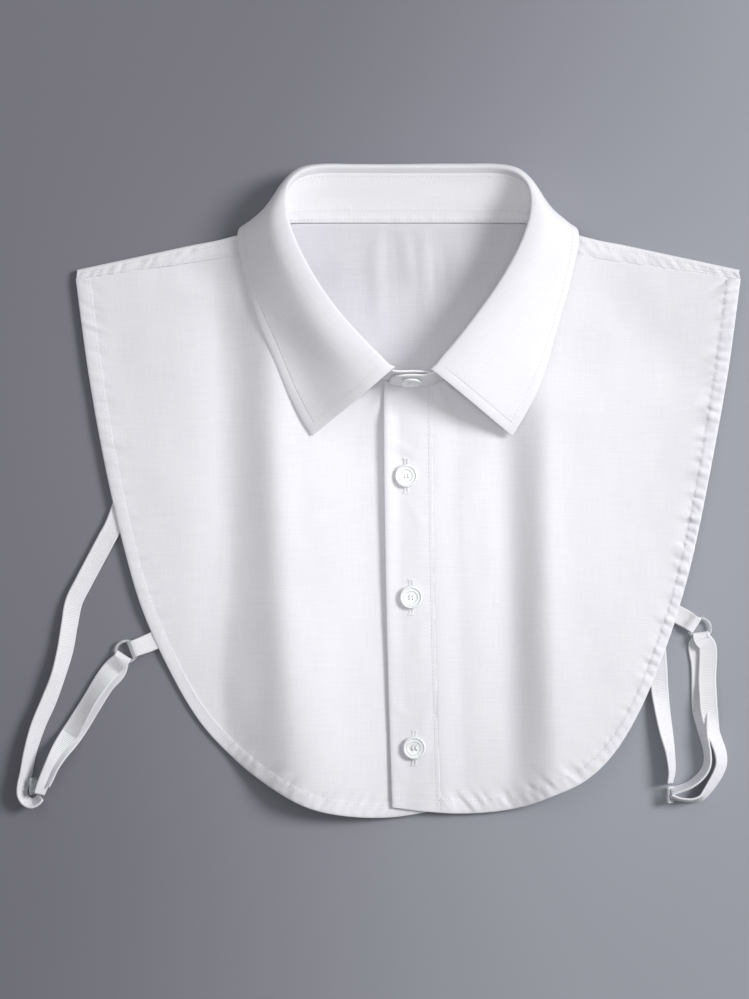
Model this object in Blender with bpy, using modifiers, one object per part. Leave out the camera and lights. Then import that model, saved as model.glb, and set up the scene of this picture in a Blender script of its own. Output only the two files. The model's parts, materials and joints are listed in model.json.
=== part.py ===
"""Detachable shirt collar: a buttoned bib front and back with a turned-down collar, laid flat.

Metres, +Z up. X runs across the shoulders, Y from the hem up to the neck, and the cloth rests on Z = 0.
The wearer's left is at +X, as it faces the viewer. The tables are in millimetres and MM turns them
into metres where each mesh is made.
"""

import math
from collections import namedtuple

import bmesh
import bpy
import numpy as np
from mathutils import Matrix, Vector

MM = 0.001

# Walls, seams and hems
CLOTH = 1.0
COLLAR_CLOTH = 1.2
SEAM_GAP = 0.3
HEM_WIDTH = 6.5
HEM_RELIEF = 0.3

# Levels of the cloth, measured to the middle of its wall
BACK_LEVEL = 0.5 * CLOTH
FRONT_LEVEL = 3.1
NECK_RAISE = 2.5
NECK_RAISE_REACH = 45.0
UNDER_LEAF_RAISE = 1.9

# Shoulders: the back turns over the shoulder edge and is sewn to the front a little way down
SHOULDER_NECK = (70.2, 131.4)
SHOULDER_TIP = (168.2, 110.4)
TURNOVER_SEAM_NECK = (70.9, 121.6)
TURNOVER_SEAM_TIP = (168.8, 106.8)
BACK_INSET = 2.5

# Button front
PLACKET_WIDTH = 24.5
PLACKET_RELIEF = 0.35
PLACKET_TOP = (-12.2, 53.0)
PLACKET_LOW = (-7.8, -161.4)
PLACKET_BEND = 1.8
UNDERLAP_WIDTH = 25.0
OVERLAP_LIFT = 1.5
OVERLAP_RELEASE = 14.0
BUTTON_PLACES = ((-1.0, 6.9), (1.5, -54.8), (3.1, -131.3))
BUTTON_RADIUS = 5.85
BUTTON_THICK = 2.2
THREAD_HOLE_RADIUS = 0.7
THREAD_HOLE_SPREAD = 1.25

# Collar stand and leaf
PANEL_TO_STAND = 1.0
STAND_ABOVE_FRONT = 1.05
LEAF_START_BELOW_ROLL = 3.6
LEAF_ON_PANEL = 1.55
FRONT_SHIFT = 2.0
STAND_LAYERS_APART = 1.9
STAND_END_ROUND = 9.0
BACK_TO_FRONT_OF_LEAF = 13.0

# Elastic straps, their rings and sliders
STRAP_WIDTH = 8.0
STRAP_THICK = 1.0
BETWEEN_LAYERS = 1.8
RING_RADIUS = 5.4
RING_WIRE = 0.75
RING_LEVEL = 2.2
BIGHT_HEIGHT = 1.6
BIGHT_REACH = 3.0
BIGHT_WIDTH = 5.8
SLIDER_SIZE = (8.6, 7.0)
SLIDER_THICK = 1.2

Section = namedtuple("Section", "neck share roll brow knee edge")

# Half of the collar, from centre back round to the end of the leaf. neck is the seam on the panels and
# share is 0 where that seam is on the back's layer and 1 on the front's. roll is the fold along the top.
# The leaf falls from the roll by way of brow and knee to its free edge. A height of None is taken from
# the cloth that the edge lies on.
COLLAR_SECTIONS = (
    Section((0, 136.2), 0, (0, 163.6, 14), (0, 164.2, 6.5), (0, 158, 0.6), (0, 129, 0.6)),
    Section((28, 136.2), 0, (26.5, 163.6, 14.2), (26.7, 164.2, 6.7), (27, 158, 0.6), (29, 129, 0.6)),
    Section((46, 136.2), 0, (43.5, 163.4, 15.6), (44.5, 164, 8), (47, 156, 0.6), (49, 128.6, 0.6)),
    Section((56.5, 136.1), 0.03, (53.6, 160.8, 18.5), (55.4, 161.6, 11), (59.5, 148.5, 0.6), (62.5, 128, 0.6)),
    Section((63, 135.6), 0.2, (59.4, 155.6, 21.3), (62.4, 156, 15.5), (69, 142.5, 0.9), (72, 127.6, 0.7)),
    Section((67, 134), 0.5, (61.8, 149, 23.6), (67, 148.6, 19.5), (75.6, 138, 3), (79.5, 128.3, 0.65)),
    Section((69.3, 130.5), 0.82, (61.9, 142.5, 25), (69.4, 141, 22.8), (79.6, 136, 9.2), (85, 133.2, 3.2)),
    Section((69.8, 125), 1, (60.8, 135.2, 26), (69.2, 132.6, 24.4), (80, 128.8, 13.8), (86.4, 126.4, 7.2)),
    Section((67.5, 114.5), 1, (57, 124.2, 26.8), (66, 120, 25.3), (77.4, 114.6, 14.5), (83.7, 112.5, None)),
    Section((60.8, 101), 1, (50, 110.3, 27.4), (59, 105, 25.8), (72, 97.2, 15.2), (78.7, 93, None)),
    Section((49.8, 86), 1, (40.5, 95.4, 28), (50.5, 89.3, 26.4), (65, 80, 15.6), (72.6, 75.2, None)),
    Section((36.5, 71.5), 1, (29, 80.5, 28.4), (39.5, 73, 27), (55.4, 61.3, 16), (65, 54.2, None)),
    Section((23, 60.5), 1, (18, 68, 28.6), (29, 59, 27), (45.8, 45.5, 16), (56.8, 37.5, None)),
    Section((12, 55), 1, (10.1, 60.3, 28.4), (21.5, 51, 26.5), (39.5, 36.5, 15.5), (50.7, 27.6, None)),
)
STAND_FRONT = Section((0, 52.8), 1, (0, 59.8, 27.6), None, None, None)
CENTRE_FRONT = len(COLLAR_SECTIONS)
STAND_ENDS = {-1: CENTRE_FRONT + 1.0, 1: CENTRE_FRONT + 0.93}
SHOULDER_SEAM_SECTION = 7.3
SHOULDER_FOLD_SECTION = 4.6

# Lower and side outline of each front, from its bottom corner at the opening up to the shoulder seam
RIGHT_FRONT_EDGE = (
    (14, -163), (-8, -166.4), (-30, -165.6), (-51, -160.8), (-71, -150), (-89, -136.2), (-106.3, -117.4),
    (-121.5, -91.5), (-135.4, -60), (-145.5, -25), (-154.5, 15), (-162.5, 60), (-168.8, 106.8),
)
LEFT_FRONT_EDGE = (
    (-7.8, -161.4), (8.9, -163.5), (32, -164.5), (55, -161.8), (73, -155.3), (90, -147.2), (104, -134),
    (116.5, -114), (127.5, -89), (137, -62), (145.5, -30), (154.5, 15), (162.5, 60), (168.8, 106.8),
)
FRONT_EDGES = {-1: RIGHT_FRONT_EDGE, 1: LEFT_FRONT_EDGE}

Fold = namedtuple("Fold", "top low height_top height_low rise fall")

# Soft rolls that run down the fronts: the crest goes from top to low, the cloth rises to it from the
# wearer's right over the width rise and falls away over the width fall.
FRONT_FOLDS = (
    Fold((-73, 118), (-53, -158), 4.5, 5.0, 26, 50),
    Fold((71, 70), (75, -158), 5.5, 4.5, 27, 75),
)

Strap = namedtuple("Strap", "long upper lower tab ring slider slider_turn slider_tilt loop_turn")

# Straps in plan. long runs from between the panels down to the slider, upper and lower are the two
# layers from the ring to the slider, and tab runs from the front's edge towards the ring. Their rows are
# x, y, height of the middle of the lower edge, width, and tilt in degrees, where a negative tilt lifts the
# edge on the right of the way the strap runs. loop_turn is 1 where the loop folds over the ring's far
# wire, and -1 where it folds over the near one.
STRAPS = {
    "right": Strap(
        long=((-140, 9, 1.8, 8, 0), (-149, -16, 1.8, 8, 0), (-154, -25.8, 1.4, 8, -4), (-160.5, -38, 0.6, 8, -10),
              (-165.5, -47.5, 0.5, 8, -14), (-170.3, -57.4, 0.5, 8, -17), (-172.5, -69, 0.5, 8, -26),
              (-174.7, -81.9, 0.5, 8, -30), (-178.1, -94.6, 0.5, 8, -42), (-182.9, -107.4, 0.5, 8, -36),
              (-188.3, -120.1, 0.5, 8, -41), (-192.2, -132.9, 0.5, 8, -51), (-194.4, -144, 0.5, 8, -54),
              (-196, -150.5, 0.5, 8, -58), (-196.4, -155, 0.5, 7.6, -62), (-194.6, -158.4, 0.5, 7.4, -62),
              (-191.4, -159.7, 0.5, 7.4, -62), (-188.5, -158.3, 0.5, 7.4, -62), (-187.3, -156.7, 0.5, 7.2, -60)),
        upper=((-150.6, -91, 1.9, 8, 0), (-155.8, -97.6, 1.9, 8, 22), (-162.4, -108, 1.9, 8, 34),
               (-169.2, -119.6, 1.9, 8, 16), (-173.6, -126.6, 1.9, 8, -8), (-177.6, -132.9, 2.1, 8, -30),
               (-181, -139.2, 2.6, 8, -48), (-183.7, -145.6, 3.0, 8, -50), (-185.9, -150.6, 3.3, 7.6, -54),
               (-187.3, -154.4, 3.4, 7.2, -56)),
        lower=((-148.6, -93, 0.5, 8, 0), (-154.4, -99.5, 0.5, 8, 0), (-160.2, -108.6, 0.5, 8, 0),
               (-166.8, -119.6, 0.5, 8, 0), (-171.8, -127.2, 0.5, 8, -12), (-176.9, -134.2, 0.5, 8, -32),
               (-180.4, -140.6, 0.5, 8, -48), (-183, -146.4, 0.5, 8, -50), (-184.6, -150, 0.5, 7.6, -52)),
        tab=((-123, -73.5), (-130.5, -77.5)), ring=(-143.5, -82.5), slider=(-190.7, -150.9), slider_turn=90.0,
        slider_tilt=68.0, loop_turn=-1,
    ),
    "left": Strap(
        long=((126.5, -78, 1.8, 8, 0), (127.5, -91, 1.6, 8, 0), (128, -100.2, 0.9, 8, -6),
              (129.5, -112.5, 0.5, 8, -27), (131.2, -122.7, 0.5, 8, -38), (133.2, -132.9, 0.5, 8, -56),
              (134.2, -143, 0.5, 8, -65), (133.3, -149.2, 0.5, 7.4, -70)),
        upper=((152.6, -81, 2.3, 8, 0), (152.3, -96, 2.2, 8, 0), (152.5, -104, 2.9, 8, 0),
               (153, -112.5, 2.2, 8, -6), (155, -122.7, 0.7, 8, -34), (157.1, -128.4, 0.5, 8, -42),
               (159, -134, 0.5, 8, -46), (159.4, -139.4, 0.5, 8, -48), (157.8, -144.4, 0.5, 8, -50),
               (155, -149.2, 0.5, 8, -54), (152, -153.6, 0.5, 8, -60), (149, -156.9, 0.5, 8, -68),
               (144, -158.2, 0.5, 7.6, -76), (138.2, -157.6, 0.5, 7, -78)),
        lower=((146.2, -80, 0.5, 8, 0), (147, -88, 0.5, 8, 0), (148, -95, 0.5, 8, 0),
               (147.6, -102, 0.5, 8, -14), (146.4, -108, 0.5, 8, -44), (146.4, -113, 0.5, 8, -64),
               (147.4, -118, 0.5, 8, -68), (149.2, -124, 0.5, 8, -66), (151, -129.4, 0.5, 8, -62),
               (152.3, -134.4, 0.5, 8, -56), (152.2, -139.6, 0.5, 8, -52), (150.4, -143.8, 0.5, 8, -52),
               (147, -147.6, 0.5, 8, -56), (143, -150.4, 0.5, 7.6, -66), (138.4, -152.3, 0.5, 7, -72)),
        tab=((131, -60.5), (140.6, -65.5)), ring=(148.7, -70.8), slider=(133.8, -155.2), slider_turn=90.0,
        slider_tilt=56.0, loop_turn=-1,
    ),
}

# Button, turned: radius and height from the middle of its face, over the rim, to the middle of its back
BUTTON_PROFILE = (
    (0, 1.35), (3.1, 1.35), (4.0, 1.95), (4.7, BUTTON_THICK), (5.4, 2.0), (BUTTON_RADIUS, 1.4),
    (5.5, 0.5), (4.3, 0), (0, 0),
)
BUTTON_SIDES = 28
COLLAR_BUTTON_X = 1.5
COLLAR_BUTTON_UP = 10.5

# Distances along the leaf, from its seam, of the rows that round the roll
LEAF_ROLL_STEPS = (0, 1.6, 3.2, 4.4, 5.8, 8.0)


def smoothstep(value):
    value = np.clip(value, 0.0, 1.0)
    return value * value * (3 - 2 * value)


def smooth_at(rows, at):
    """Numbers along a smooth curve through the given rows, at the row numbers at."""
    rows = np.asarray(rows, float)
    rows = np.vstack([2 * rows[0] - rows[1], rows, 2 * rows[-1] - rows[-2]])
    at = np.clip(np.asarray(at, float), 0, len(rows) - 3)
    first = np.minimum(at.astype(int), len(rows) - 4)
    t = (at - first)[:, None]
    a, b, c, d = (rows[first + k] for k in range(4))
    return 0.5 * (2 * b + (c - a) * t + (2 * a - 5 * b + 4 * c - d) * t**2 + (3 * b - a - 3 * c + d) * t**3)


def smooth(rows, count):
    return smooth_at(rows, np.linspace(0, len(rows) - 1, count))


def evenly(points, count):
    """count points evenly spaced along a line through the given ones."""
    points = np.asarray(points, float)
    run = np.concatenate([[0], np.cumsum(np.linalg.norm(np.diff(points, axis=0), axis=1))])
    at = np.linspace(0, run[-1], count)
    return np.column_stack([np.interp(at, run, column) for column in points.T])


def unit(vectors):
    vectors = np.asarray(vectors, float)
    return vectors / np.maximum(np.linalg.norm(vectors, axis=-1, keepdims=True), 1e-9)


def shifted(points):
    """The front of the collar sits a little towards the wearer's left, where the button line is."""
    points = np.array(points, float)
    points[:, 0] += FRONT_SHIFT * smoothstep((95 - points[:, 1]) / 40)
    return points


def collar_line(pick, numbers, side):
    """A line along the collar at fractional section numbers, from the value that pick reads of each."""
    rows = [np.array(pick(s), float) for s in COLLAR_SECTIONS + (STAND_FRONT,)]
    flip = np.ones(len(rows[0]))
    flip[0] = -1
    rows = [rows[1] * flip, *rows, rows[-2] * flip, rows[-3] * flip]
    line = smooth_at(rows, np.asarray(numbers, float) + 1)
    line[:, 0] *= side
    return shifted(line)


def neck_line(numbers, side):
    return collar_line(lambda s: (*s.neck, s.share), numbers, side)


NECK_PLAN = np.vstack([neck_line(np.linspace(0, CENTRE_FRONT, 81), side)[:, :2] for side in (-1, 1)])


def neck_distance(x, y):
    gap = np.stack([x, y], -1)[..., None, :] - NECK_PLAN
    return np.sqrt((gap**2).sum(-1)).min(-1)


def outward_of(numbers, side):
    """Unit directions in plan, at section numbers, that point away from the middle of the neck opening."""
    numbers = np.asarray(numbers, float)
    along = neck_line(numbers + 0.02, side)[:, :2] - neck_line(numbers - 0.02, side)[:, :2]
    return unit(np.column_stack([along[:, 1], -along[:, 0]])) * -side


def fold_height(x, y):
    height = np.zeros_like(x)
    for fold in FRONT_FOLDS:
        down = (fold.top[1] - y) / (fold.top[1] - fold.low[1])
        crest = fold.top[0] + (fold.low[0] - fold.top[0]) * down
        off = (x - crest) / np.where(x < crest, fold.rise, fold.fall)
        tall = fold.height_top + (fold.height_low - fold.height_top) * np.clip(down, 0, 1)
        fade = smoothstep((fold.top[1] + 8 - y) / 40)
        height += tall * fade * smoothstep(1 - np.abs(off))
    return height


def front_height(x, y):
    """Middle of the front cloth above the table, without the overlap at the opening."""
    x, y = np.asarray(x, float), np.asarray(y, float)
    lift = NECK_RAISE * smoothstep(1 - neck_distance(x, y) / NECK_RAISE_REACH)
    return FRONT_LEVEL + lift + fold_height(x, y)


def back_height(x, y):
    """Middle of the back cloth: flat on the table, and raised where the leaf lies under it."""
    x, y = np.asarray(x, float), np.asarray(y, float)
    near_neck = smoothstep((y - 100) / 18) * smoothstep((112 - np.abs(x)) / 18)
    return BACK_LEVEL + UNDER_LEAF_RAISE * near_neck


def placket_edge_x(y):
    down = np.clip((PLACKET_TOP[1] - np.asarray(y, float)) / (PLACKET_TOP[1] - PLACKET_LOW[1]), 0, 1)
    return PLACKET_TOP[0] + (PLACKET_LOW[0] - PLACKET_TOP[0]) * down**PLACKET_BEND


def left_front_height(x, y):
    """The wearer's left front, which climbs over the right one at the opening."""
    past = np.asarray(x, float) - placket_edge_x(y) - PLACKET_WIDTH
    return front_height(x, y) + OVERLAP_LIFT * smoothstep(1 - past / OVERLAP_RELEASE)


def clean_scene():
    for old in list(bpy.data.objects):
        bpy.data.objects.remove(old)
    collection = bpy.data.collections.new("detachable_shirt_collar")
    bpy.context.scene.collection.children.link(collection)
    cutters = bpy.data.collections.new("cutters")
    bpy.context.scene.collection.children.link(cutters)
    return collection, cutters


def material(name, colour, roughness, alpha=1.0):
    made = bpy.data.materials.new(name)
    made.use_nodes = True
    shader = made.node_tree.nodes["Principled BSDF"]
    shader.inputs["Base Color"].default_value = (*colour, 1.0)
    shader.inputs["Roughness"].default_value = roughness
    shader.inputs["Metallic"].default_value = 0.0
    shader.inputs["Alpha"].default_value = alpha
    return made


def new_object(name, data, collection, finish):
    obj = bpy.data.objects.new(name, data)
    if not data.materials:
        data.materials.append(finish)
    collection.objects.link(obj)
    return obj


def grid_mesh(name, points):
    """A grid primitive whose vertices are moved to points[row][column], in millimetres."""
    rows, columns = points.shape[:2]
    bm = bmesh.new()
    bmesh.ops.create_grid(bm, x_segments=columns - 1, y_segments=rows - 1, size=0.5)
    order = sorted(bm.verts, key=lambda v: (round(v.co.y, 6), round(v.co.x, 6)))
    for vertex, place in zip(order, points.reshape(-1, 3)):
        vertex.co = place * MM
    mesh = bpy.data.meshes.new(name)
    bm.to_mesh(mesh)
    bm.free()
    mesh.shade_smooth()
    return mesh


def cloth(name, points, thick, collection, finish):
    """A sheet of cloth through the given points, which are the middle of its wall."""
    obj = new_object(name, grid_mesh(name, points), collection, finish)
    wall = obj.modifiers.new("wall", "SOLIDIFY")
    wall.thickness = thick * MM
    wall.offset = 0.0
    wall.use_even_offset = False
    return obj


def panel_steps(length, count):
    """Shares from the neck (0) to the outer edge (1), with the last rows at the inside of the hem."""
    inner = 1 - (HEM_WIDTH + 1.2) / length
    return np.concatenate([np.linspace(0, inner, count), [1 - HEM_WIDTH / length, 1.0]])


def fan(inner, outer, count):
    """Rows of plan points between an inner line and an outer line with as many points."""
    lengths = np.linalg.norm(outer - inner, axis=1)
    steps = np.array([panel_steps(length, count) for length in lengths])
    return inner[None] + (outer - inner)[None] * steps.T[..., None]


def hem_relief(plan):
    """Raises the two outermost rows, which are the hem, by its extra layers."""
    relief = np.zeros(plan.shape[:2])
    relief[-2:] = HEM_RELIEF
    return relief


def neck_edge(numbers, side):
    """The panels' edge around the neck, just clear of the seam line, on the side where the cloth lies."""
    line = neck_line(numbers, side)
    turn = smoothstep((np.asarray(numbers, float) - 4) / 2)[:, None]
    towards_cloth = unit(np.array([0.0, -1.0]) * (1 - turn) + outward_of(numbers, side) * turn)
    return line[:, :2] + towards_cloth * PANEL_TO_STAND


def section_at_x(x, side):
    """Section number, near the centre front, where the neck line crosses x."""
    numbers = np.linspace(CENTRE_FRONT - 3, CENTRE_FRONT + 2, 400)
    crossing = np.abs(neck_line(numbers, side)[:, 0] - x)
    return numbers[crossing.argmin()]


def front_panel(name, side, start_top, collection, finish):
    """A front, from its opening edge round to the shoulder seam. side is -1 for the wearer's right."""
    columns, rows = 33, 14
    start = section_at_x(start_top, side)
    inner = neck_edge(np.linspace(start, SHOULDER_SEAM_SECTION, 200), side)
    outer = smooth(FRONT_EDGES[side], 400)
    if side > 0:
        outer = outer[outer[:, 0] > placket_edge_x(-162.0) + PLACKET_WIDTH]
    inner, outer = evenly(inner, columns), evenly(outer, columns)
    inner[-1] = np.multiply(TURNOVER_SEAM_NECK, (side, 1))
    outer[-1] = np.multiply(TURNOVER_SEAM_TIP, (side, 1))
    plan = fan(inner, outer, rows)
    x, y = plan[..., 0], plan[..., 1]
    z = (left_front_height(x, y) if side > 0 else front_height(x, y)) + hem_relief(plan)
    return cloth(name, np.stack([x, y, z], -1), CLOTH, collection, finish)


def button_placket(collection, finish):
    """The band down the wearer's left edge, level with the front and a little proud of it."""
    columns, rows = 5, 34
    across = np.linspace(0, PLACKET_WIDTH - SEAM_GAP, columns)
    top_numbers = [section_at_x(PLACKET_TOP[0] + step, 1) for step in across]
    top = neck_edge(np.linspace(top_numbers[0], top_numbers[-1], columns), 1)
    outline = smooth(LEFT_FRONT_EDGE, 400)
    low_x = placket_edge_x(PLACKET_LOW[1]) + across
    low_y = np.interp(low_x, outline[:200, 0], outline[:200, 1])
    y = top[:, 1] + (low_y - top[:, 1]) * np.linspace(0, 1, rows)[:, None]
    x = placket_edge_x(y) + across
    z = left_front_height(x, y) + PLACKET_RELIEF
    return cloth("button_placket", np.stack([x, y, z], -1), CLOTH, collection, finish)


def back_outline():
    """The back's own edge: the fronts' outline drawn in, from the wearer's right round to the left."""
    right = smooth(RIGHT_FRONT_EDGE, 300)
    left = smooth(LEFT_FRONT_EDGE, 300)
    right = right[right[:, 0] < 0][::-1]
    outline = np.vstack([right, left[left[:, 0] > 0.5]])
    outline[:, 1] = np.minimum(outline[:, 1], SHOULDER_TIP[1])
    centre = np.array([0.0, 60.0])
    return outline + unit(centre - outline) * BACK_INSET


def shoulder_fold(side, shares, turn):
    """Points of the rounded shoulder edge, from the lower layer (turn -1) to the upper one (turn 1)."""
    neck, tip = np.array(SHOULDER_NECK), np.array(SHOULDER_TIP)
    line = neck + (tip - neck) * shares[:, None]
    out = unit([tip[1] - neck[1], -(tip[0] - neck[0])]) * -1
    line[:, 0] *= side
    out = out * (side, 1)
    low = back_height(line[:, 0], line[:, 1])
    high = front_height(line[:, 0], line[:, 1])
    radius = (high - low) / 2
    angle = turn * math.pi / 2
    place = line + out * (radius * math.cos(angle))[:, None]
    return np.column_stack([place, low + radius * (1 + math.sin(angle))])


def back_panel(collection, finish):
    """The back, which turns over both shoulder edges to the seams on the fronts."""
    columns, rows = 37, 12
    right = neck_edge(np.linspace(SHOULDER_FOLD_SECTION, 0, 120), -1)
    left = neck_edge(np.linspace(0, SHOULDER_FOLD_SECTION, 120), 1)
    inner = evenly(np.vstack([right, left[1:]]), columns)
    inner[0], inner[-1] = (-SHOULDER_NECK[0], SHOULDER_NECK[1]), SHOULDER_NECK
    outer = evenly(back_outline(), columns)
    outer[0], outer[-1] = (-SHOULDER_TIP[0], SHOULDER_TIP[1]), SHOULDER_TIP
    plan = fan(inner, outer, rows)
    sheet = np.dstack([plan, back_height(plan[..., 0], plan[..., 1])])
    shares = panel_steps(np.hypot(*(np.array(SHOULDER_TIP) - SHOULDER_NECK)), rows)

    def turnover(side):
        turns = [shoulder_fold(side, shares, turn) for turn in (-0.55, 0.0, 0.55, 1.0)]
        neck, tip = np.array(TURNOVER_SEAM_NECK), np.array(TURNOVER_SEAM_TIP)
        seam = (neck + (tip - neck) * shares[:, None]) * (side, 1)
        seam[:, 1] += SEAM_GAP
        top = turns[-1][:, :2]
        for share in (0.5, 1.0):
            flat = top + (seam - top) * share
            turns.append(np.column_stack([flat, front_height(flat[:, 0], flat[:, 1])]))
        return np.stack(turns, 1)

    right_turn, left_turn = turnover(-1)[:, ::-1], turnover(1)
    points = np.concatenate([right_turn, sheet, left_turn], axis=1)
    return cloth("back_panel", points, CLOTH, collection, finish)


def stand_lines(numbers, side):
    """Foot and roll of the stand for one half, with the lap at the front worked in."""
    neck = neck_line(numbers, side)
    roll = collar_line(lambda s: s.roll, numbers, side)
    x, y, share = neck.T
    front = front_height(x, y)
    if side > 0:
        front = left_front_height(x, y) + PLACKET_RELIEF
    foot_z = back_height(x, y) * (1 - share) + (front + STAND_ABOVE_FRONT) * share
    past_leaf = np.asarray(numbers) - BACK_TO_FRONT_OF_LEAF
    lap = side * STAND_LAYERS_APART / 2 * smoothstep((past_leaf + 0.6) / 1.2)
    out = outward_of(numbers, side) * lap[:, None]
    foot = np.column_stack([neck[:, :2] + out, foot_z])
    roll = roll.copy()
    roll[:, :2] += out
    return foot, roll


def stand_top(foot, roll):
    return roll - unit(roll - foot) * (LEAF_START_BELOW_ROLL + SEAM_GAP)


def collar_stand(collection, finish):
    """The standing band round the neck, lapped at the front with rounded ends."""
    halves = []
    for side, columns in ((-1, 30), (1, 30)):
        numbers = np.linspace(0, STAND_ENDS[side], 200)
        foot, roll = stand_lines(numbers, side)
        both = evenly(np.hstack([foot, stand_top(foot, roll)]), columns)
        halves.append(both)
    line = np.vstack([halves[0][::-1], halves[1][1:]])
    foot, top = line[:, :3], line[:, 3:]
    run = np.concatenate([[0], np.cumsum(np.linalg.norm(np.diff(foot, axis=0), axis=1))])
    from_end = np.minimum(run, run[-1] - run)
    cut = np.clip(1 - from_end / STAND_END_ROUND, 0, 1)
    height = 1 - 0.5 * (1 - np.sqrt(1 - 0.98 * cut**2))
    shares = np.linspace(0, 1, 4)
    points = foot[None] + (top - foot)[None] * (shares[:, None] * height)[..., None]
    return cloth("collar_stand", points, COLLAR_CLOTH, collection, finish)


def leaf_lines(numbers, side):
    """Brow, knee and free edge of the leaf at the given section numbers, as rows of nine numbers."""
    rows = []
    for section in COLLAR_SECTIONS:
        x, y, z = section.edge
        if z is None:
            at = shifted([(side * x, y)])[0]
            z = float((left_front_height if side > 0 else front_height)(*at)) + LEAF_ON_PANEL
        rows.append([*section.brow, *section.knee, x, y, z])
    rows = np.array(rows, float)
    flip = np.tile([-1.0, 1.0, 1.0], 3)
    line = smooth_at(np.vstack([rows[1] * flip, rows]), np.asarray(numbers, float) + 1)
    parts = []
    for part in np.split(line, 3, axis=1):
        part[:, 0] *= side
        parts.append(shifted(part))
    return parts


def leaf_profiles(numbers, side):
    """Cross-sections of the leaf, from its seam on the stand over the roll to the free edge."""
    foot, roll = stand_lines(numbers, side)
    up = unit(roll - foot)
    lines = [roll - up * LEAF_START_BELOW_ROLL, roll, *leaf_lines(numbers, side)]
    profiles = []
    for rows in np.stack(lines, 1):
        fine = smooth(rows, 160)
        fine[:, 2] = np.maximum(fine[:, 2], COLLAR_CLOTH / 2)
        run = np.concatenate([[0], np.cumsum(np.linalg.norm(np.diff(fine, axis=0), axis=1))])
        stops = np.concatenate([LEAF_ROLL_STEPS, np.linspace(LEAF_ROLL_STEPS[-1], run[-1], 8)[1:]])
        profiles.append(np.column_stack([np.interp(stops, run, column) for column in fine.T]))
    return np.array(profiles)


def collar_leaf(collection, finish):
    """The turned-down collar: one sheet that starts inside the roll and falls outwards."""
    numbers = np.linspace(0, BACK_TO_FRONT_OF_LEAF, 27)
    right, left = leaf_profiles(numbers, -1), leaf_profiles(numbers, 1)
    points = np.concatenate([right[::-1], left[1:]]).transpose(1, 0, 2)
    return cloth("collar_leaf", points, COLLAR_CLOTH, collection, finish)


def mesh_from(obj):
    """The finished mesh of an object whose modifiers are then no longer needed."""
    graph = bpy.context.evaluated_depsgraph_get()
    mesh = bpy.data.meshes.new_from_object(obj.evaluated_get(graph))
    bpy.data.objects.remove(obj)
    return mesh


def button_mesh(collection, cutters, finish):
    """A four-hole shirt button: a turned disc with a raised rim, drilled with four thread holes."""
    profile = bpy.data.meshes.new("button_profile")
    places = [(radius * MM, 0, height * MM) for radius, height in BUTTON_PROFILE]
    profile.from_pydata(places, [(i, i + 1) for i in range(len(places) - 1)], [])
    turned = new_object("button_blank", profile, collection, finish)
    screw = turned.modifiers.new("turn", "SCREW")
    screw.steps = screw.render_steps = BUTTON_SIDES
    screw.use_merge_vertices = True
    screw.merge_threshold = 0.00001

    bm = bmesh.new()
    for angle in (0.25, 0.75, 1.25, 1.75):
        spot = Vector((math.cos(angle * math.pi), math.sin(angle * math.pi), 0)) * THREAD_HOLE_SPREAD * MM
        bmesh.ops.create_cone(bm, cap_ends=True, segments=10, radius1=THREAD_HOLE_RADIUS * MM,
                              radius2=THREAD_HOLE_RADIUS * MM, depth=4 * BUTTON_THICK * MM,
                              matrix=Matrix.Translation(spot))
    drill_mesh = bpy.data.meshes.new("thread_holes")
    bm.to_mesh(drill_mesh)
    bm.free()
    drill = new_object("thread_holes", drill_mesh, cutters, finish)
    drill.hide_render = True
    drill.display_type = "WIRE"
    cut = turned.modifiers.new("thread_holes", "BOOLEAN")
    cut.operation = "DIFFERENCE"
    cut.object = drill
    bpy.context.view_layer.update()
    mesh = mesh_from(turned)
    mesh.name = "shirt_button"
    mesh.shade_smooth()
    mesh.set_sharp_from_angle(angle=math.radians(40))
    return mesh


def placket_buttons(mesh, collection, finish):
    for number, (x, y) in enumerate(BUTTON_PLACES, 1):
        around = np.linspace(0, 2 * math.pi, 13)
        ring_x, ring_y = x + BUTTON_RADIUS * np.cos(around), y + BUTTON_RADIUS * np.sin(around)
        seat = left_front_height(ring_x, ring_y).max() + PLACKET_RELIEF + CLOTH / 2 + SEAM_GAP
        button = new_object(f"placket_button_{number}", mesh, collection, finish)
        button.location = Vector((x, y, seat)) * MM


def collar_button(mesh, collection, finish):
    """The button at the throat, lying against the outer end of the stand."""
    number = section_at_x(COLLAR_BUTTON_X, 1)
    foot, roll = (Vector(line[0]) for line in stand_lines([number], 1))
    up = (roll - foot).normalized()
    normal = Vector((1, 0, 0)).cross(up).normalized()
    place = foot + up * COLLAR_BUTTON_UP + normal * (COLLAR_CLOTH / 2 + 2 * SEAM_GAP)
    button = new_object("collar_button", mesh, collection, finish)
    button.matrix_world = Matrix.Translation(place * MM) @ normal.to_track_quat("Z", "Y").to_matrix().to_4x4()


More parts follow.
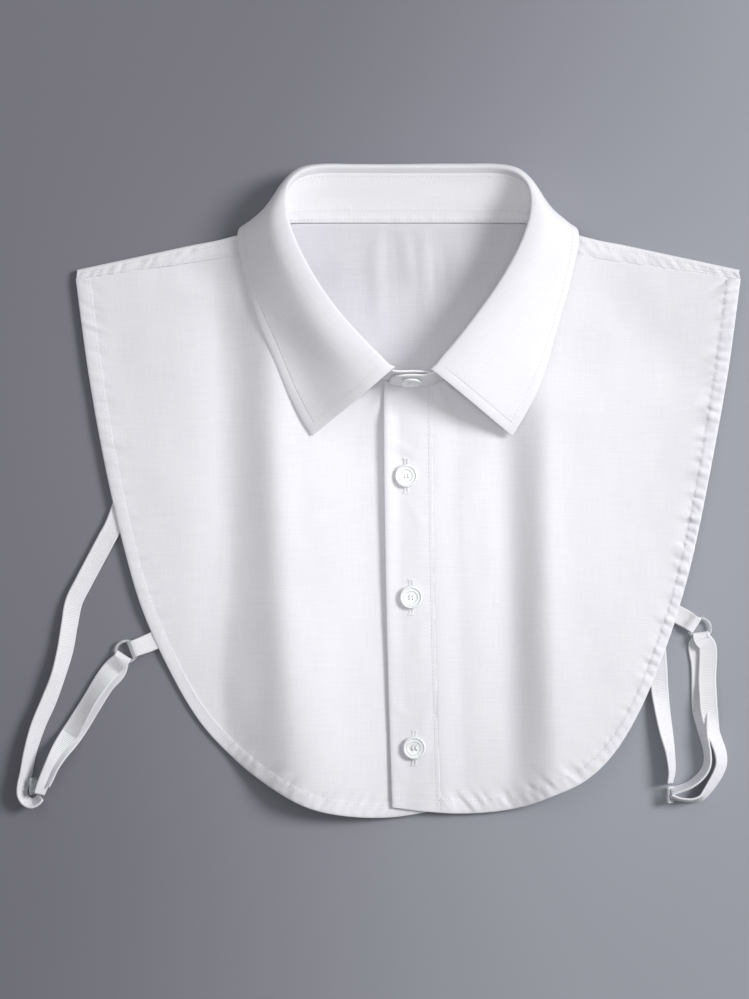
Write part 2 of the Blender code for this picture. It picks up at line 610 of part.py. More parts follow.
def ribbon(name, route, collection, finish):
    """Flat elastic along a route of places, widths and tilts, keeping its side in a hairpin."""
    route = np.asarray(route, float)
    line = smooth(route, 2 * len(route) - 1)
    line, width, tilt = line[:, :3], line[:, 3:4], np.radians(line[:, 4:])
    line[:, 2] = np.maximum(line[:, 2], STRAP_THICK / 2)
    tangents = unit(np.gradient(line, axis=0))
    sides = []
    side = np.array([-tangents[0][1], tangents[0][0], 0.0])
    for tangent in tangents:
        level = np.array([-tangent[1], tangent[0], 0.0])
        if np.linalg.norm(level) > 0.35:
            side = unit(level) * (1 if level @ side >= 0 else -1)
        sides.append(unit(side))
    sides = np.array(sides)
    up = unit(np.cross(tangents, sides))
    up *= np.where(up[:, 2:] < 0, -1.0, 1.0)
    half = (sides * np.cos(tilt) + up * np.sin(tilt)) * width / 2
    line[:, 2:] += np.abs(np.sin(tilt)) * width / 2
    return cloth(name, np.stack([line - half, line + half]), STRAP_THICK, collection, finish)


def hairpin(wire, heading):
    """Route points over a ring's wire, down beyond it and back beneath it."""
    points = []
    for turn in (90, 45, 0, -45, -90):
        angle = math.radians(turn)
        place = wire + heading * BIGHT_REACH * math.cos(angle)
        points.append((*place, RING_LEVEL + BIGHT_HEIGHT * math.sin(angle), BIGHT_WIDTH, 0.0))
    return points


def strap_set(name, strap, collection, finishes):
    """One side's elastic: the long leg, the doubled loop, the tab, the clear ring and the slider."""
    elastic, clear = finishes
    ring = np.array(strap.ring, float)
    ribbon(f"strap_long_{name}", strap.long, collection, elastic)

    heading = unit(np.mean([strap.upper[0][:2], strap.lower[0][:2]], axis=0) - ring)
    wire = ring - heading * strap.loop_turn * RING_RADIUS
    upper = [(*row[:4], -row[4]) for row in strap.upper[::-1]]
    ribbon(f"strap_loop_{name}", upper + hairpin(wire, -heading) + list(strap.lower), collection, elastic)

    tab_start, tab_edge = (np.array(point, float) for point in strap.tab)
    heading = unit(ring - tab_edge)
    wire = ring - heading * RING_RADIUS
    route = [(*tab_start, BETWEEN_LAYERS, STRAP_WIDTH, 0.0), (*tab_edge, BETWEEN_LAYERS + 0.2, STRAP_WIDTH, 0.0)]
    route += hairpin(wire, heading)
    route += [(*(tab_edge + heading * 1.5), STRAP_THICK / 2, STRAP_WIDTH, 0.0)]
    ribbon(f"strap_tab_{name}", route, collection, elastic)

    bpy.ops.mesh.primitive_torus_add(major_segments=28, minor_segments=8, major_radius=RING_RADIUS * MM,
                                     minor_radius=RING_WIRE * MM)
    torus = bpy.context.object
    loop = new_object(f"ring_{name}", torus.data, collection, clear)
    bpy.data.objects.remove(torus)
    loop.data.shade_smooth()
    loop.location = Vector((*ring, RING_LEVEL)) * MM

    slider(f"slider_{name}", strap, collection, clear)


def rounded_rectangle(width, height, corner, centre_y=0.0):
    points = []
    for quarter in range(4):
        sign_x, sign_y = ((1, 1), (-1, 1), (-1, -1), (1, -1))[quarter]
        for step in range(4):
            angle = math.pi / 2 * (quarter + step / 3)
            x = sign_x * (width / 2 - corner) + corner * math.cos(angle)
            y = sign_y * (height / 2 - corner) + corner * math.sin(angle)
            points.append((x, y + centre_y))
    return points


def slider(name, strap, collection, finish):
    """A flat plastic adjuster that leans on its long edge: a frame with one middle bar between two slots."""
    width, height = SLIDER_SIZE
    curve = bpy.data.curves.new(name, "CURVE")
    curve.dimensions = "2D"
    curve.fill_mode = "BOTH"
    curve.extrude = SLIDER_THICK / 2 * MM
    outlines = [rounded_rectangle(width, height, 1.2)]
    for way in (-1, 1):
        outlines.append(rounded_rectangle(width - 2.6, 1.6, 0.5, way * 1.45))
    for outline in outlines:
        spline = curve.splines.new("POLY")
        spline.points.add(len(outline) - 1)
        for point, (x, y) in zip(spline.points, outline):
            point.co = (x * MM, y * MM, 0, 1)
        spline.use_cyclic_u = True
    obj = new_object(name, curve, collection, finish)
    lean = math.radians(strap.slider_tilt)
    level = height / 2 * math.sin(lean) + SLIDER_THICK / 2 * math.cos(lean)
    obj.location = Vector((*strap.slider, level)) * MM
    obj.rotation_euler = (lean, 0, math.radians(strap.slider_turn))


def build():
    collection, cutters = clean_scene()
    poplin = material("white_poplin", (0.86, 0.86, 0.88), 0.85)
    resin = material("white_button_resin", (0.84, 0.85, 0.87), 0.25)
    elastic = material("white_ribbed_elastic", (0.83, 0.84, 0.86), 0.7)
    clear = material("clear_plastic", (0.85, 0.87, 0.88), 0.12, 0.45)

    front_panel("front_right", -1, PLACKET_TOP[0] + UNDERLAP_WIDTH, collection, poplin)
    front_panel("front_left", 1, PLACKET_TOP[0] + PLACKET_WIDTH, collection, poplin)
    button_placket(collection, poplin)
    back_panel(collection, poplin)
    collar_stand(collection, poplin)
    collar_leaf(collection, poplin)

    button = button_mesh(collection, cutters, resin)
    placket_buttons(button, collection, resin)
    collar_button(button, collection, resin)

    for name, strap in STRAPS.items():
        strap_set(name, strap, collection, (elastic, clear))


build()
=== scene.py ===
# Detachable shirt collar: the cloth, stitching, buttons and elastic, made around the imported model.
# Plan tables are in millimetres and mm turns them into metres where each mesh is made.
import json
import math
from collections import namedtuple

import bmesh
import bpy
import numpy as np
from mathutils import Matrix, Vector

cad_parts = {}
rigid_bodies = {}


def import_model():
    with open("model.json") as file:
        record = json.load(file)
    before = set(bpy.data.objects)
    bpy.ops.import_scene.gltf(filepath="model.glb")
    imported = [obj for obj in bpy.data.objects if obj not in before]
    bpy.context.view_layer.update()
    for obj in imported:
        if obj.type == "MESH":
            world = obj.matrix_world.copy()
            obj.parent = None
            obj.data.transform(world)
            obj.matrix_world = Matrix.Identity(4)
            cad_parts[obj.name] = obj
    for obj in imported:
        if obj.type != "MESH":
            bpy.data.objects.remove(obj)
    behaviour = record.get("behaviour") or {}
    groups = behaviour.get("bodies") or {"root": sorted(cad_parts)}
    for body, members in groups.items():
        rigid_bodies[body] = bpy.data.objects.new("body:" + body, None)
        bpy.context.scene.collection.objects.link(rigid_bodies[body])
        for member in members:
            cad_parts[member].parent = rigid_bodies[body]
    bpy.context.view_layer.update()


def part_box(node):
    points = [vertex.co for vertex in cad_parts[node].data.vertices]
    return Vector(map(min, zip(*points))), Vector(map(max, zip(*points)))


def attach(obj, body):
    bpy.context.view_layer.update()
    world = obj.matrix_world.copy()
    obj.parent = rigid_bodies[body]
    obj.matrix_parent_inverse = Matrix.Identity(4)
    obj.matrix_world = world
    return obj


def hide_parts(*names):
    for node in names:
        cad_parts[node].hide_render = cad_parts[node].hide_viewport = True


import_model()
mm = 0.001

# ---- camera and light ----
shot = {
    "aim": (-17.1, -5.1, 0.0),
    "height": 1600.0,
    "lens": 113.05,
    "keyFrom": (1770.0, 576.0, 1476.0),
    "keySize": 912.0,
    "keyPower": 49.0,
    "fillFrom": (-480.0, 520.0, 900.0),
    "fillSize": 900.0,
    "fillPower": 1.35,
    "poolFrom": (0.0, 10.0, 1500.0),
    "poolReach": 200.0,
    "poolSoft": 120.0,
    "poolPower": 26.0,
    "worldLight": 0.275,
    "worldTint": (0.96, 0.98, 1.0, 1.0),
    # the table's two colours, darker away from the key light, are painted light falloff
    "floorPaintedShade": (0.212, 0.208, 0.243, 1.0),
    "floorPaintedLight": (0.362, 0.372, 0.416, 1.0),
    "floorFalloffSpan": (-0.15, 0.20),
    "floorFalloffSlant": 0.3,
}


def linked(name, data):
    thing = bpy.data.objects.new(name, data)
    bpy.context.scene.collection.objects.link(thing)
    return thing


def areaLight(name, place, size, power):
    lamp = bpy.data.lights.new(name, "AREA")
    lamp.shape = "DISK"
    lamp.size = size * mm
    lamp.energy = power
    holder = linked(name, lamp)
    holder.location = Vector(place) * mm
    towards = Vector(shot["aim"]) * mm - holder.location
    holder.rotation_euler = towards.to_track_quat("-Z", "Y").to_euler()


def poolLight():
    # a soft round pool over the throat that dies away towards the sides
    lamp = bpy.data.lights.new("pool", "SPOT")
    lamp.spot_size = 2 * math.atan(shot["poolReach"] / shot["poolFrom"][2])
    lamp.spot_blend = 1.0
    lamp.shadow_soft_size = shot["poolSoft"] * mm
    lamp.energy = shot["poolPower"]
    linked("pool", lamp).location = Vector(shot["poolFrom"]) * mm


def makeCamera():
    lens = bpy.data.cameras.new("camera")
    lens.lens = shot["lens"]
    lens.sensor_width = 36.0
    lens.clip_start = 0.05
    camera = linked("camera", lens)
    camera.location = (shot["aim"][0] * mm, shot["aim"][1] * mm, shot["height"] * mm)
    bpy.context.scene.camera = camera


makeCamera()
areaLight("key", shot["keyFrom"], shot["keySize"], shot["keyPower"])
areaLight("fill", shot["fillFrom"], shot["fillSize"], shot["fillPower"])
poolLight()
world = bpy.data.worlds.new("studio")
world.use_nodes = True
sky = world.node_tree.nodes["Background"]
sky.inputs["Color"].default_value = shot["worldTint"]
sky.inputs["Strength"].default_value = shot["worldLight"]
bpy.context.scene.world = world
bpy.context.scene.view_settings.view_transform = "Standard"
print("camera and light ready")


# ---- shader maths ----
class Wire:
    # a socket of a material, on which sums add their own Math nodes
    def __init__(self, board, socket):
        self.board, self.socket = board, socket

    def maths(self, operation, first, second):
        return self.board.node("ShaderNodeMath", {"operation": operation}, {0: first, 1: second})

    def __add__(self, other):
        return self.maths("ADD", self, other)

    def __mul__(self, other):
        return self.maths("MULTIPLY", self, other)

    __radd__, __rmul__ = __add__, __mul__


class Finish:
    # one material and the calls that fill its node tree
    def __init__(self, name):
        self.material = bpy.data.materials.new(name)
        self.material.use_nodes = True
        self.tree = self.material.node_tree
        self.shader = self.tree.nodes["Principled BSDF"]

    def node(self, kind, settings=None, sockets=None, output=0):
        made = self.tree.nodes.new(kind)
        for name, value in (settings or {}).items():
            if name == "stops":
                ramp = made.color_ramp
                while len(ramp.elements) < len(value):
                    ramp.elements.new(0.5)
                for element, (place, colour) in zip(ramp.elements, value):
                    element.position, element.color = place, colour
            else:
                setattr(made, name, value)
        for name, value in (sockets or {}).items():
            self.feed(made.inputs[name], value)
        return Wire(self, made.outputs[output])

    def feed(self, socket, value):
        if isinstance(value, Wire):
            self.tree.links.new(value.socket, socket)
        else:
            socket.default_value = value

    def set(self, **values):
        for name, value in values.items():
            self.feed(self.shader.inputs[name.replace("_", " ")], value)

    def mix(self, share, first, second):
        return self.node("ShaderNodeMix", {"data_type": "RGBA"}, {0: share, 6: first, 7: second}, 2)

    def place(self, source, scale):
        found = self.node("ShaderNodeTexCoord", output="Object") if source == "object" else \
            self.node("ShaderNodeUVMap", {"uv_map": "weave"})
        return self.node("ShaderNodeMapping", {}, {"Vector": found, "Scale": scale})

    def axis(self, place, name):
        return self.node("ShaderNodeSeparateXYZ", {}, {0: place}, name)

    def noise(self, source, scale, detail=2.0):
        return self.node("ShaderNodeTexNoise", {}, {
            "Vector": self.place(source, scale), "Scale": 1.0, "Detail": detail, "Roughness": 0.5})

    def bump(self, height, distance, strength):
        return self.node("ShaderNodeBump", {}, {
            "Height": height, "Distance": distance, "Strength": strength})


poplinLook = {
    "threadPitch": 0.34,
    "weftShare": 0.8,
    "slubScales": ((1500.0, 60.0, 1.0), (60.0, 1300.0, 1.0)),
    "cloudScale": (45.0, 45.0, 45.0),
    "doubled": ((0.825, 0.816, 0.855, 1.0), (0.765, 0.757, 0.80, 1.0)),
    # painted shade: the next pair is the same poplin made darker
    "singleShaded": ((0.67, 0.662, 0.70, 1.0), (0.61, 0.602, 0.645, 1.0)),
    # painted light: the next pair is the same poplin made lighter
    "interlinedLit": ((0.925, 0.918, 0.945, 1.0), (0.88, 0.872, 0.905, 1.0)),
}


def poplinFinish(name, white, shade):
    # plain weave: fine warp, slightly coarser weft, and slubs that run along the threads
    cloth = Finish(name)
    pitch = poplinLook["threadPitch"] * mm
    threads = cloth.place("uv", (1 / pitch, poplinLook["weftShare"] / pitch, 1.0))
    warp, weft = (cloth.node("ShaderNodeMath", {"operation": "SINE"},
                             {0: cloth.axis(threads, name) * math.tau}) for name in "XY")
    weave = warp * weft * 0.5 + 0.5
    slubWarp, slubWeft = (cloth.noise("uv", scale, 1.0) for scale in poplinLook["slubScales"])
    slubs = (slubWarp + slubWeft) * 0.5
    soft = cloth.noise("object", poplinLook["cloudScale"])
    tone = weave * 0.10 + slubs * 0.75 + soft * 0.25
    spread = cloth.node("ShaderNodeMapRange", {}, {"Value": tone, "From Min": 0.35, "From Max": 0.72})
    cloth.set(Base_Color=cloth.mix(spread, shade, white))
    cloth.set(Roughness=0.78 + slubs * 0.12)
    height = weave * 0.45 + slubs * 0.9 + soft * 0.3
    cloth.set(Normal=cloth.bump(height, 0.00012, 0.55))
    cloth.set(Sheen_Weight=0.12, Sheen_Roughness=0.5, Specular_IOR_Level=0.25)
    return cloth.material


def threadFinish(name, deep, light):
    thread = Finish(name)
    twist = thread.noise("object", (2600.0, 2600.0, 2600.0), 1.0)
    thread.set(Base_Color=thread.mix(twist, deep, light))
    thread.set(Roughness=0.45 + twist * 0.2, Normal=thread.bump(twist, 0.00008, 0.6))
    thread.set(Sheen_Weight=0.2, Sheen_Roughness=0.4)
    return thread.material


def elasticFinish():
    elastic = Finish("white_ribbed_elastic")
    fine = elastic.noise("uv", (350.0, 3800.0, 1.0))
    cloudy = elastic.noise("object", (90.0, 90.0, 90.0))
    tone = fine * 0.6 + cloudy * 0.4
    elastic.set(Base_Color=elastic.mix(tone, (0.72, 0.715, 0.75, 1.0), (0.87, 0.865, 0.90, 1.0)))
    elastic.set(Roughness=0.62 + fine * 0.16, Normal=elastic.bump(fine, 0.0001, 0.5))
    elastic.set(Sheen_Weight=0.25, Sheen_Roughness=0.45)
    return elastic.material


def resinFinish():
    resin = Finish("white_button_resin")
    cloudy = resin.noise("object", (260.0, 260.0, 700.0), 3.0)
    resin.set(Base_Color=resin.mix(cloudy, (0.78, 0.79, 0.81, 1.0), (0.88, 0.885, 0.9, 1.0)))
    resin.set(Roughness=0.14 + cloudy * 0.14, Normal=resin.bump(cloudy, 0.0001, 0.25))
    resin.set(Coat_Weight=0.35, Coat_Roughness=0.08, IOR=1.52)
    return resin.material


def clearFinish():
    clear = Finish("clear_plastic")
    wear = clear.noise("object", (900.0, 900.0, 900.0))
    clear.set(Base_Color=clear.mix(wear, (0.86, 0.88, 0.9, 1.0), (0.95, 0.96, 0.97, 1.0)))
    clear.set(Roughness=0.1 + wear * 0.12, Normal=clear.bump(wear, 0.00006, 0.3))
    clear.set(Transmission_Weight=0.6, IOR=1.3)
    return clear.material


def floorFinish():
    # painted light falloff: the table's colour is darker on the side away from the key light, standing in
    # for the light dying away there
    floor = Finish("table_painted_light_falloff")
    cloudy = floor.noise("object", (6.0, 6.0, 6.0), 3.0)
    spot = floor.place("object", (1.0, 1.0, 1.0))
    across, down = floor.axis(spot, "X"), floor.axis(spot, "Y") * -shot["floorFalloffSlant"]
    start, end = shot["floorFalloffSpan"]
    share = floor.node("ShaderNodeMapRange", {"interpolation_type": "SMOOTHSTEP"},
                       {"Value": across + down + cloudy * 0.02, "From Min": start, "From Max": end})
    floor.set(Base_Color=floor.mix(share, shot["floorPaintedShade"], shot["floorPaintedLight"]))
    floor.set(Roughness=0.7 + cloudy * 0.1, Specular_IOR_Level=0.2)
    return floor.material


poplin = poplinFinish("white_poplin", *poplinLook["doubled"])
# painted light: the interlined stand is coloured lighter, for more light on its inside as well as for
# letting no shade of the table through
interlinedLitPoplin = poplinFinish("white_poplin_interlined_painted_light", *poplinLook["interlinedLit"])
# painted shade: the one layer of the back is coloured darker, for the shade that the stand and leaf cast
# into the neck as well as for a little of the table showing through
thinShadedPoplin = poplinFinish("white_poplin_single_painted_shade", *poplinLook["singleShaded"])
# painted shade: topstitches are coloured darker than the thread on the buttonholes, for the shade where
# they sink into the cloth
shadedTopstitch = threadFinish("white_topstitch_painted_shade", (0.62, 0.62, 0.65, 1.0), (0.76, 0.76, 0.79, 1.0))
sewingThread = threadFinish("white_sewing_thread", (0.80, 0.80, 0.82, 1.0), (0.9, 0.9, 0.91, 1.0))
elastic = elasticFinish()
resin, clear = resinFinish(), clearFinish()
print("finishes ready")


# ---- lines and small helpers ----
def smoothstep(value):
    value = np.clip(value, 0.0, 1.0)
    return value * value * (3 - 2 * value)


def bell(off, width):
    # 1 on a line, dying away over width on both sides of it
    return np.exp(-((off / width) ** 2))


def smoothAt(rows, at):
    # the smooth line through all rows, at fractional row numbers
    rows = np.asarray(rows, float)
    rows = np.vstack([2 * rows[0] - rows[1], rows, 2 * rows[-1] - rows[-2]])
    at = np.clip(np.asarray(at, float), 0, len(rows) - 3)
    first = np.minimum(at.astype(int), len(rows) - 4)
    t = (at - first)[:, None]
    a, b, c, d = (rows[first + k] for k in range(4))
    return 0.5 * (2 * b + (c - a) * t + (2 * a - 5 * b + 4 * c - d) * t**2
                  + (3 * b - a - 3 * c + d) * t**3)


def smooth(rows, count):
    return smoothAt(rows, np.linspace(0, len(rows) - 1, count))


def runAlong(points):
    return np.concatenate([[0], np.cumsum(np.linalg.norm(np.diff(points, axis=0), axis=1))])


def evenly(points, count):
    points = np.asarray(points, float)
    run = runAlong(points)
    at = np.linspace(0, run[-1], count)
    return np.column_stack([np.interp(at, run, column) for column in points.T])


def unit(vectors):
    vectors = np.asarray(vectors, float)
    return vectors / np.maximum(np.linalg.norm(vectors, axis=-1, keepdims=True), 1e-9)


def waver(x, y, seed):
    # soft noise between -1 and 1 that changes over a distance of about 1
    table = np.random.default_rng(seed).uniform(-1, 1, (64, 64))
    x, y = np.broadcast_arrays(np.asarray(x, float), np.asarray(y, float))
    i, j = np.floor(x).astype(int), np.floor(y).astype(int)
    u, v = smoothstep(x - i), smoothstep(y - j)
    near = table[i % 64, j % 64] * (1 - u) + table[(i + 1) % 64, j % 64] * u
    far = table[i % 64, (j + 1) % 64] * (1 - u) + table[(i + 1) % 64, (j + 1) % 64] * u
    return near * (1 - v) + far * v


def puckers(along, off, halfPitch, slant, reach, seed):
    # small ripples across a seam: along it and off it in mm, leaning by slant
    wave = waver((along + slant * off) / halfPitch, along / 70, seed)
    return wave * bell(off, reach)


Crease = namedtuple("Crease", "path height width")


def creased(x, y, creases):
    # soft ridges (or troughs, where height is negative) laid along given paths in plan
    total = np.zeros(np.shape(x))
    for crease in creases:
        line = smooth(crease.path, 20)
        nearest = np.full(total.shape, 1e9)
        share = np.zeros(total.shape)
        for k in range(len(line) - 1):
            start, step = line[k], line[k + 1] - line[k]
            t = np.clip(((x - start[0]) * step[0] + (y - start[1]) * step[1]) / (step @ step), 0, 1)
            gap = np.hypot(x - start[0] - t * step[0], y - start[1] - t * step[1])
            closer = gap < nearest
            nearest = np.where(closer, gap, nearest)
            share = np.where(closer, (k + t) / (len(line) - 1), share)
        total += crease.height * bell(nearest, crease.width) * np.sin(np.pi * share) ** 0.7
    return total


def tidyMesh(name, places, faces, finish, weave=None, values=None):
    # a mesh from places in mm, turned so that its faces point outwards
    places = np.asarray(places, float) * mm
    corners = np.array([(face[0], face[k], face[k + 1])
                        for face in faces for k in range(1, len(face) - 1)])
    a, b, c = (places[corners[:, k]] - places.mean(0) for k in range(3))
    if np.einsum("ij,ij->i", a, np.cross(b, c)).sum() < 0:
        faces = [tuple(face[::-1]) for face in faces]
    mesh = bpy.data.meshes.new(name)
    mesh.from_pydata(places.tolist(), [], faces)
    corners = np.zeros(len(mesh.loops), np.int32)
    mesh.loops.foreach_get("vertex_index", corners)
    if weave is not None:
        layer = mesh.uv_layers.new(name="weave")
        layer.data.foreach_set("uv", (np.asarray(weave, float)[corners] * mm).ravel())
    for label, numbers in (values or {}).items():
        kept = mesh.attributes.new(label, "FLOAT", "POINT")
        kept.data.foreach_set("value", np.asarray(numbers, np.float32))
    mesh.materials.append(finish)
    mesh.shade_smooth()
    return mesh


def showPiece(name, mesh, slotName, *nodes):
    piece = linked(name, mesh)
    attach(piece, "root")
    if nodes:
        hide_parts(*nodes)
    return piece


def normalsOf(points):
    return unit(np.cross(np.gradient(points, axis=1), np.gradient(points, axis=0)))


def rimLoop(rows, columns):
    loop = [(0, c) for c in range(columns - 1)] + [(r, columns - 1) for r in range(rows - 1)]
    loop += [(rows - 1, c) for c in range(columns - 1, 0, -1)] + [(r, 0) for r in range(rows - 1, 0, -1)]
    return np.array(loop)


def shellParts(points, wall):
    # both faces of a sheet through the middle of its wall, and a rounded rim that joins them
    rows, columns = points.shape[:2]
    normals = normalsOf(points)
    half = np.broadcast_to(np.asarray(wall, float) / 2, (rows, columns))[..., None]
    loop = rimLoop(rows, columns)
    outward = np.zeros_like(points)
    outward[0] += unit(points[0] - points[1])
    outward[-1] += unit(points[-1] - points[-2])
    outward[:, 0] += unit(points[:, 0] - points[:, 1])
    outward[:, -1] += unit(points[:, -1] - points[:, -2])
    edge, away, up = (field[loop[:, 0], loop[:, 1]] for field in (points, unit(outward), normals))
    edgeHalf = half[loop[:, 0], loop[:, 1]]
    places = [(points + normals * half).reshape(-1, 3), (points - normals * half).reshape(-1, 3)]
    for turn in (50, 0, -50):
        angle = math.radians(turn)
        places.append(edge + (away * math.cos(angle) + up * math.sin(angle)) * edgeHalf)
    cells = np.arange(rows * columns).reshape(rows, columns)
    top = np.stack([cells[:-1, :-1], cells[:-1, 1:], cells[1:, 1:], cells[1:, :-1]], -1).reshape(-1, 4)
    count, length = rows * columns, len(loop)
    faces = [top, top[:, ::-1] + count]
    around = loop[:, 0] * columns + loop[:, 1]
    rings = [around] + [2 * count + k * length + np.arange(length) for k in range(3)] + [around + count]
    for first, second in zip(rings, rings[1:]):
        faces.append(np.stack([np.roll(first, -1), first, second, np.roll(second, -1)], -1))
    spread = np.concatenate([cells.ravel(), cells.ravel(), around, around, around])
    return np.vstack(places), np.vstack(faces).tolist(), spread


Sheet = namedtuple("Sheet", "points normals wall")
stitchLift = 0.02


def clothPiece(name, points, wall, weave, *nodes):
    # a closed piece of cloth; weave is the place of each grid point on the flat cloth, in mm
    places, faces, spread = shellParts(points, wall)
    mesh = tidyMesh(name, places, faces, poplin, weave.reshape(-1, 2)[spread])
    piece = showPiece(name, mesh, "poplin", *nodes)
    full = np.broadcast_to(np.asarray(wall, float), points.shape[:2])
    normals = normalsOf(points)
    if normals[..., 2].mean() < 0:
        normals = -normals
    return piece, Sheet(points, normals, full)


def onSheet(sheet, rows, columns, face=1.0):
    # places of stitches on one face of a sheet, at fractional grid rows and columns
    rows, columns = np.broadcast_arrays(np.asarray(rows, float), np.asarray(columns, float))
    height, width = sheet.points.shape[:2]
    r, c = np.clip(rows, 0, height - 1.001), np.clip(columns, 0, width - 1.001)
    i, j = r.astype(int), c.astype(int)
    u, v = (r - i)[..., None], (c - j)[..., None]
    surface = sheet.points + sheet.normals * face * (sheet.wall[..., None] / 2 + stitchLift)
    near = surface[i, j] * (1 - v) + surface[i, j + 1] * v
    far = surface[i + 1, j] * (1 - v) + surface[i + 1, j + 1] * v
    return near * (1 - u) + far * u


# ---- collar plan, as in the solids, but with taller folds in the fronts ----
levels = {
    "back": 0.5, "front": 3.1, "neckRaise": 2.5, "neckRaiseReach": 45.0, "underLeafRaise": 1.9,
    "overlapLift": 1.5, "overlapRelease": 14.0, "standAboveFront": 1.05, "leafOnPanel": 1.55,
    "panelToStand": 1.0, "frontShift": 2.0, "seamGap": 0.3,
}
shoulder = {
    "neck": (70.2, 131.4), "tip": (168.2, 110.4),
    "seamNeck": (70.9, 121.6), "seamTip": (168.8, 106.8),
    "seamSection": 7.3, "foldSection": 4.6,
}
Section = namedtuple("Section", "neck share roll brow knee edge")
collarSections = (
    Section((0, 136.2), 0, (0, 163.6, 14), (0, 164.2, 6.5), (0, 158, 0.6), (0, 129, 0.6)),
    Section((28, 136.2), 0, (26.5, 163.6, 14.2), (26.7, 164.2, 6.7), (27, 158, 0.6), (29, 129, 0.6)),
    Section((46, 136.2), 0, (43.5, 163.4, 15.6), (44.5, 164, 8), (47, 156, 0.6), (49, 128.6, 0.6)),
    Section((56.5, 136.1), 0.03, (53.6, 160.8, 18.5), (55.4, 161.6, 11), (59.5, 148.5, 0.6),
            (62.5, 128, 0.6)),
    Section((63, 135.6), 0.2, (59.4, 155.6, 21.3), (62.4, 156, 15.5), (69, 142.5, 0.9), (72, 127.6, 0.7)),
    Section((67, 134), 0.5, (61.8, 149, 23.6), (67, 148.6, 19.5), (75.6, 138, 3), (79.5, 128.3, 0.65)),
    Section((69.3, 130.5), 0.82, (61.9, 142.5, 25), (69.4, 141, 22.8), (79.6, 136, 9.2), (85, 133.2, 3.2)),
    Section((69.8, 125), 1, (60.8, 135.2, 26), (69.2, 132.6, 24.4), (80, 128.8, 13.8), (86.4, 126.4, 7.2)),
    Section((67.5, 114.5), 1, (57, 124.2, 26.8), (66, 120, 25.3), (77.4, 114.6, 14.5), (83.7, 112.5, None)),
    Section((60.8, 101), 1, (50, 110.3, 27.4), (59, 105, 25.8), (72, 97.2, 15.2), (78.7, 93, None)),
    Section((49.8, 86), 1, (40.5, 95.4, 28), (50.5, 89.3, 26.4), (65, 80, 15.6), (72.6, 75.2, None)),
    Section((36.5, 71.5), 1, (29, 80.5, 28.4), (39.5, 73, 27), (55.4, 61.3, 16), (65, 54.2, None)),
    Section((23, 60.5), 1, (18, 68, 28.6), (29, 59, 27), (45.8, 45.5, 16), (56.8, 37.5, None)),
    Section((12, 55), 1, (10.1, 60.3, 28.4), (21.5, 51, 26.5), (39.5, 36.5, 15.5), (50.7, 27.6, None)),
)
standFront = Section((0, 52.8), 1, (0, 59.8, 27.6), None, None, None)
centreFront = len(collarSections)
frontEdges = {
    -1: ((14, -163), (-8, -166.4), (-30, -165.6), (-51, -160.8), (-71, -150), (-89, -136.2),
         (-106.3, -117.4), (-121.5, -91.5), (-135.4, -60), (-145.5, -25), (-154.5, 15), (-162.5, 60),
         (-168.8, 106.8)),
    1: ((-7.8, -161.4), (8.9, -163.5), (32, -164.5), (55, -161.8), (73, -155.3), (90, -147.2),
        (104, -134), (116.5, -114), (127.5, -89), (137, -62), (145.5, -30), (154.5, 15), (162.5, 60),
        (168.8, 106.8)),
}
Fold = namedtuple("Fold", "top low heightTop heightLow rise riseLow fall")
frontFolds = (
    Fold((-71.5, 118), (-53, -158), 5.9, 9.0, 28, 43, 50),
    Fold((71, 70), (76, -158), 5.6, 6.8, 27, 27, 75),
)


def shifted(points):
    points = np.array(points, float)
    points[:, 0] += levels["frontShift"] * smoothstep((95 - points[:, 1]) / 40)
    return points


def collarLine(pick, numbers, side):
    rows = [np.array(pick(s), float) for s in collarSections + (standFront,)]
    flip = np.ones(len(rows[0]))
    flip[0] = -1
    rows = [rows[1] * flip, *rows, rows[-2] * flip, rows[-3] * flip]
    line = smoothAt(rows, np.asarray(numbers, float) + 1)
    line[:, 0] *= side
    return shifted(line)


def neckLine(numbers, side):
    return collarLine(lambda s: (*s.neck, s.share), numbers, side)


neckPlan = np.vstack([neckLine(np.linspace(0, centreFront, 81), side)[:, :2] for side in (-1, 1)])


def neckDistance(x, y):
    nearest = np.full(np.shape(x), 1e9)
    for place in neckPlan:
        nearest = np.minimum(nearest, np.hypot(x - place[0], y - place[1]))
    return nearest


def outwardOf(numbers, side):
    numbers = np.asarray(numbers, float)
    along = neckLine(numbers + 0.02, side)[:, :2] - neckLine(numbers - 0.02, side)[:, :2]
    return unit(np.column_stack([along[:, 1], -along[:, 0]])) * -side


def foldHeight(x, y):
    height = np.zeros_like(x)
    for fold in frontFolds:
        down = (fold.top[1] - y) / (fold.top[1] - fold.low[1])
        crest = fold.top[0] + (fold.low[0] - fold.top[0]) * down
        rise = fold.rise + (fold.riseLow - fold.rise) * np.clip(down, 0, 1)
        off = (x - crest) / np.where(x < crest, rise, fold.fall)
        tall = fold.heightTop + (fold.heightLow - fold.heightTop) * np.clip(down, 0, 1)
        fade = smoothstep((fold.top[1] + 8 - y) / 40)
        height += tall * fade * smoothstep(1 - np.abs(off))
    return height


def frontHeight(x, y):
    x, y = np.asarray(x, float), np.asarray(y, float)
    lift = levels["neckRaise"] * smoothstep(1 - neckDistance(x, y) / levels["neckRaiseReach"])
    return levels["front"] + lift + foldHeight(x, y)


def backHeight(x, y):
    x, y = np.asarray(x, float), np.asarray(y, float)
    nearNeck = smoothstep((y - 100) / 18) * smoothstep((112 - np.abs(x)) / 18)
    return levels["back"] + levels["underLeafRaise"] * nearNeck


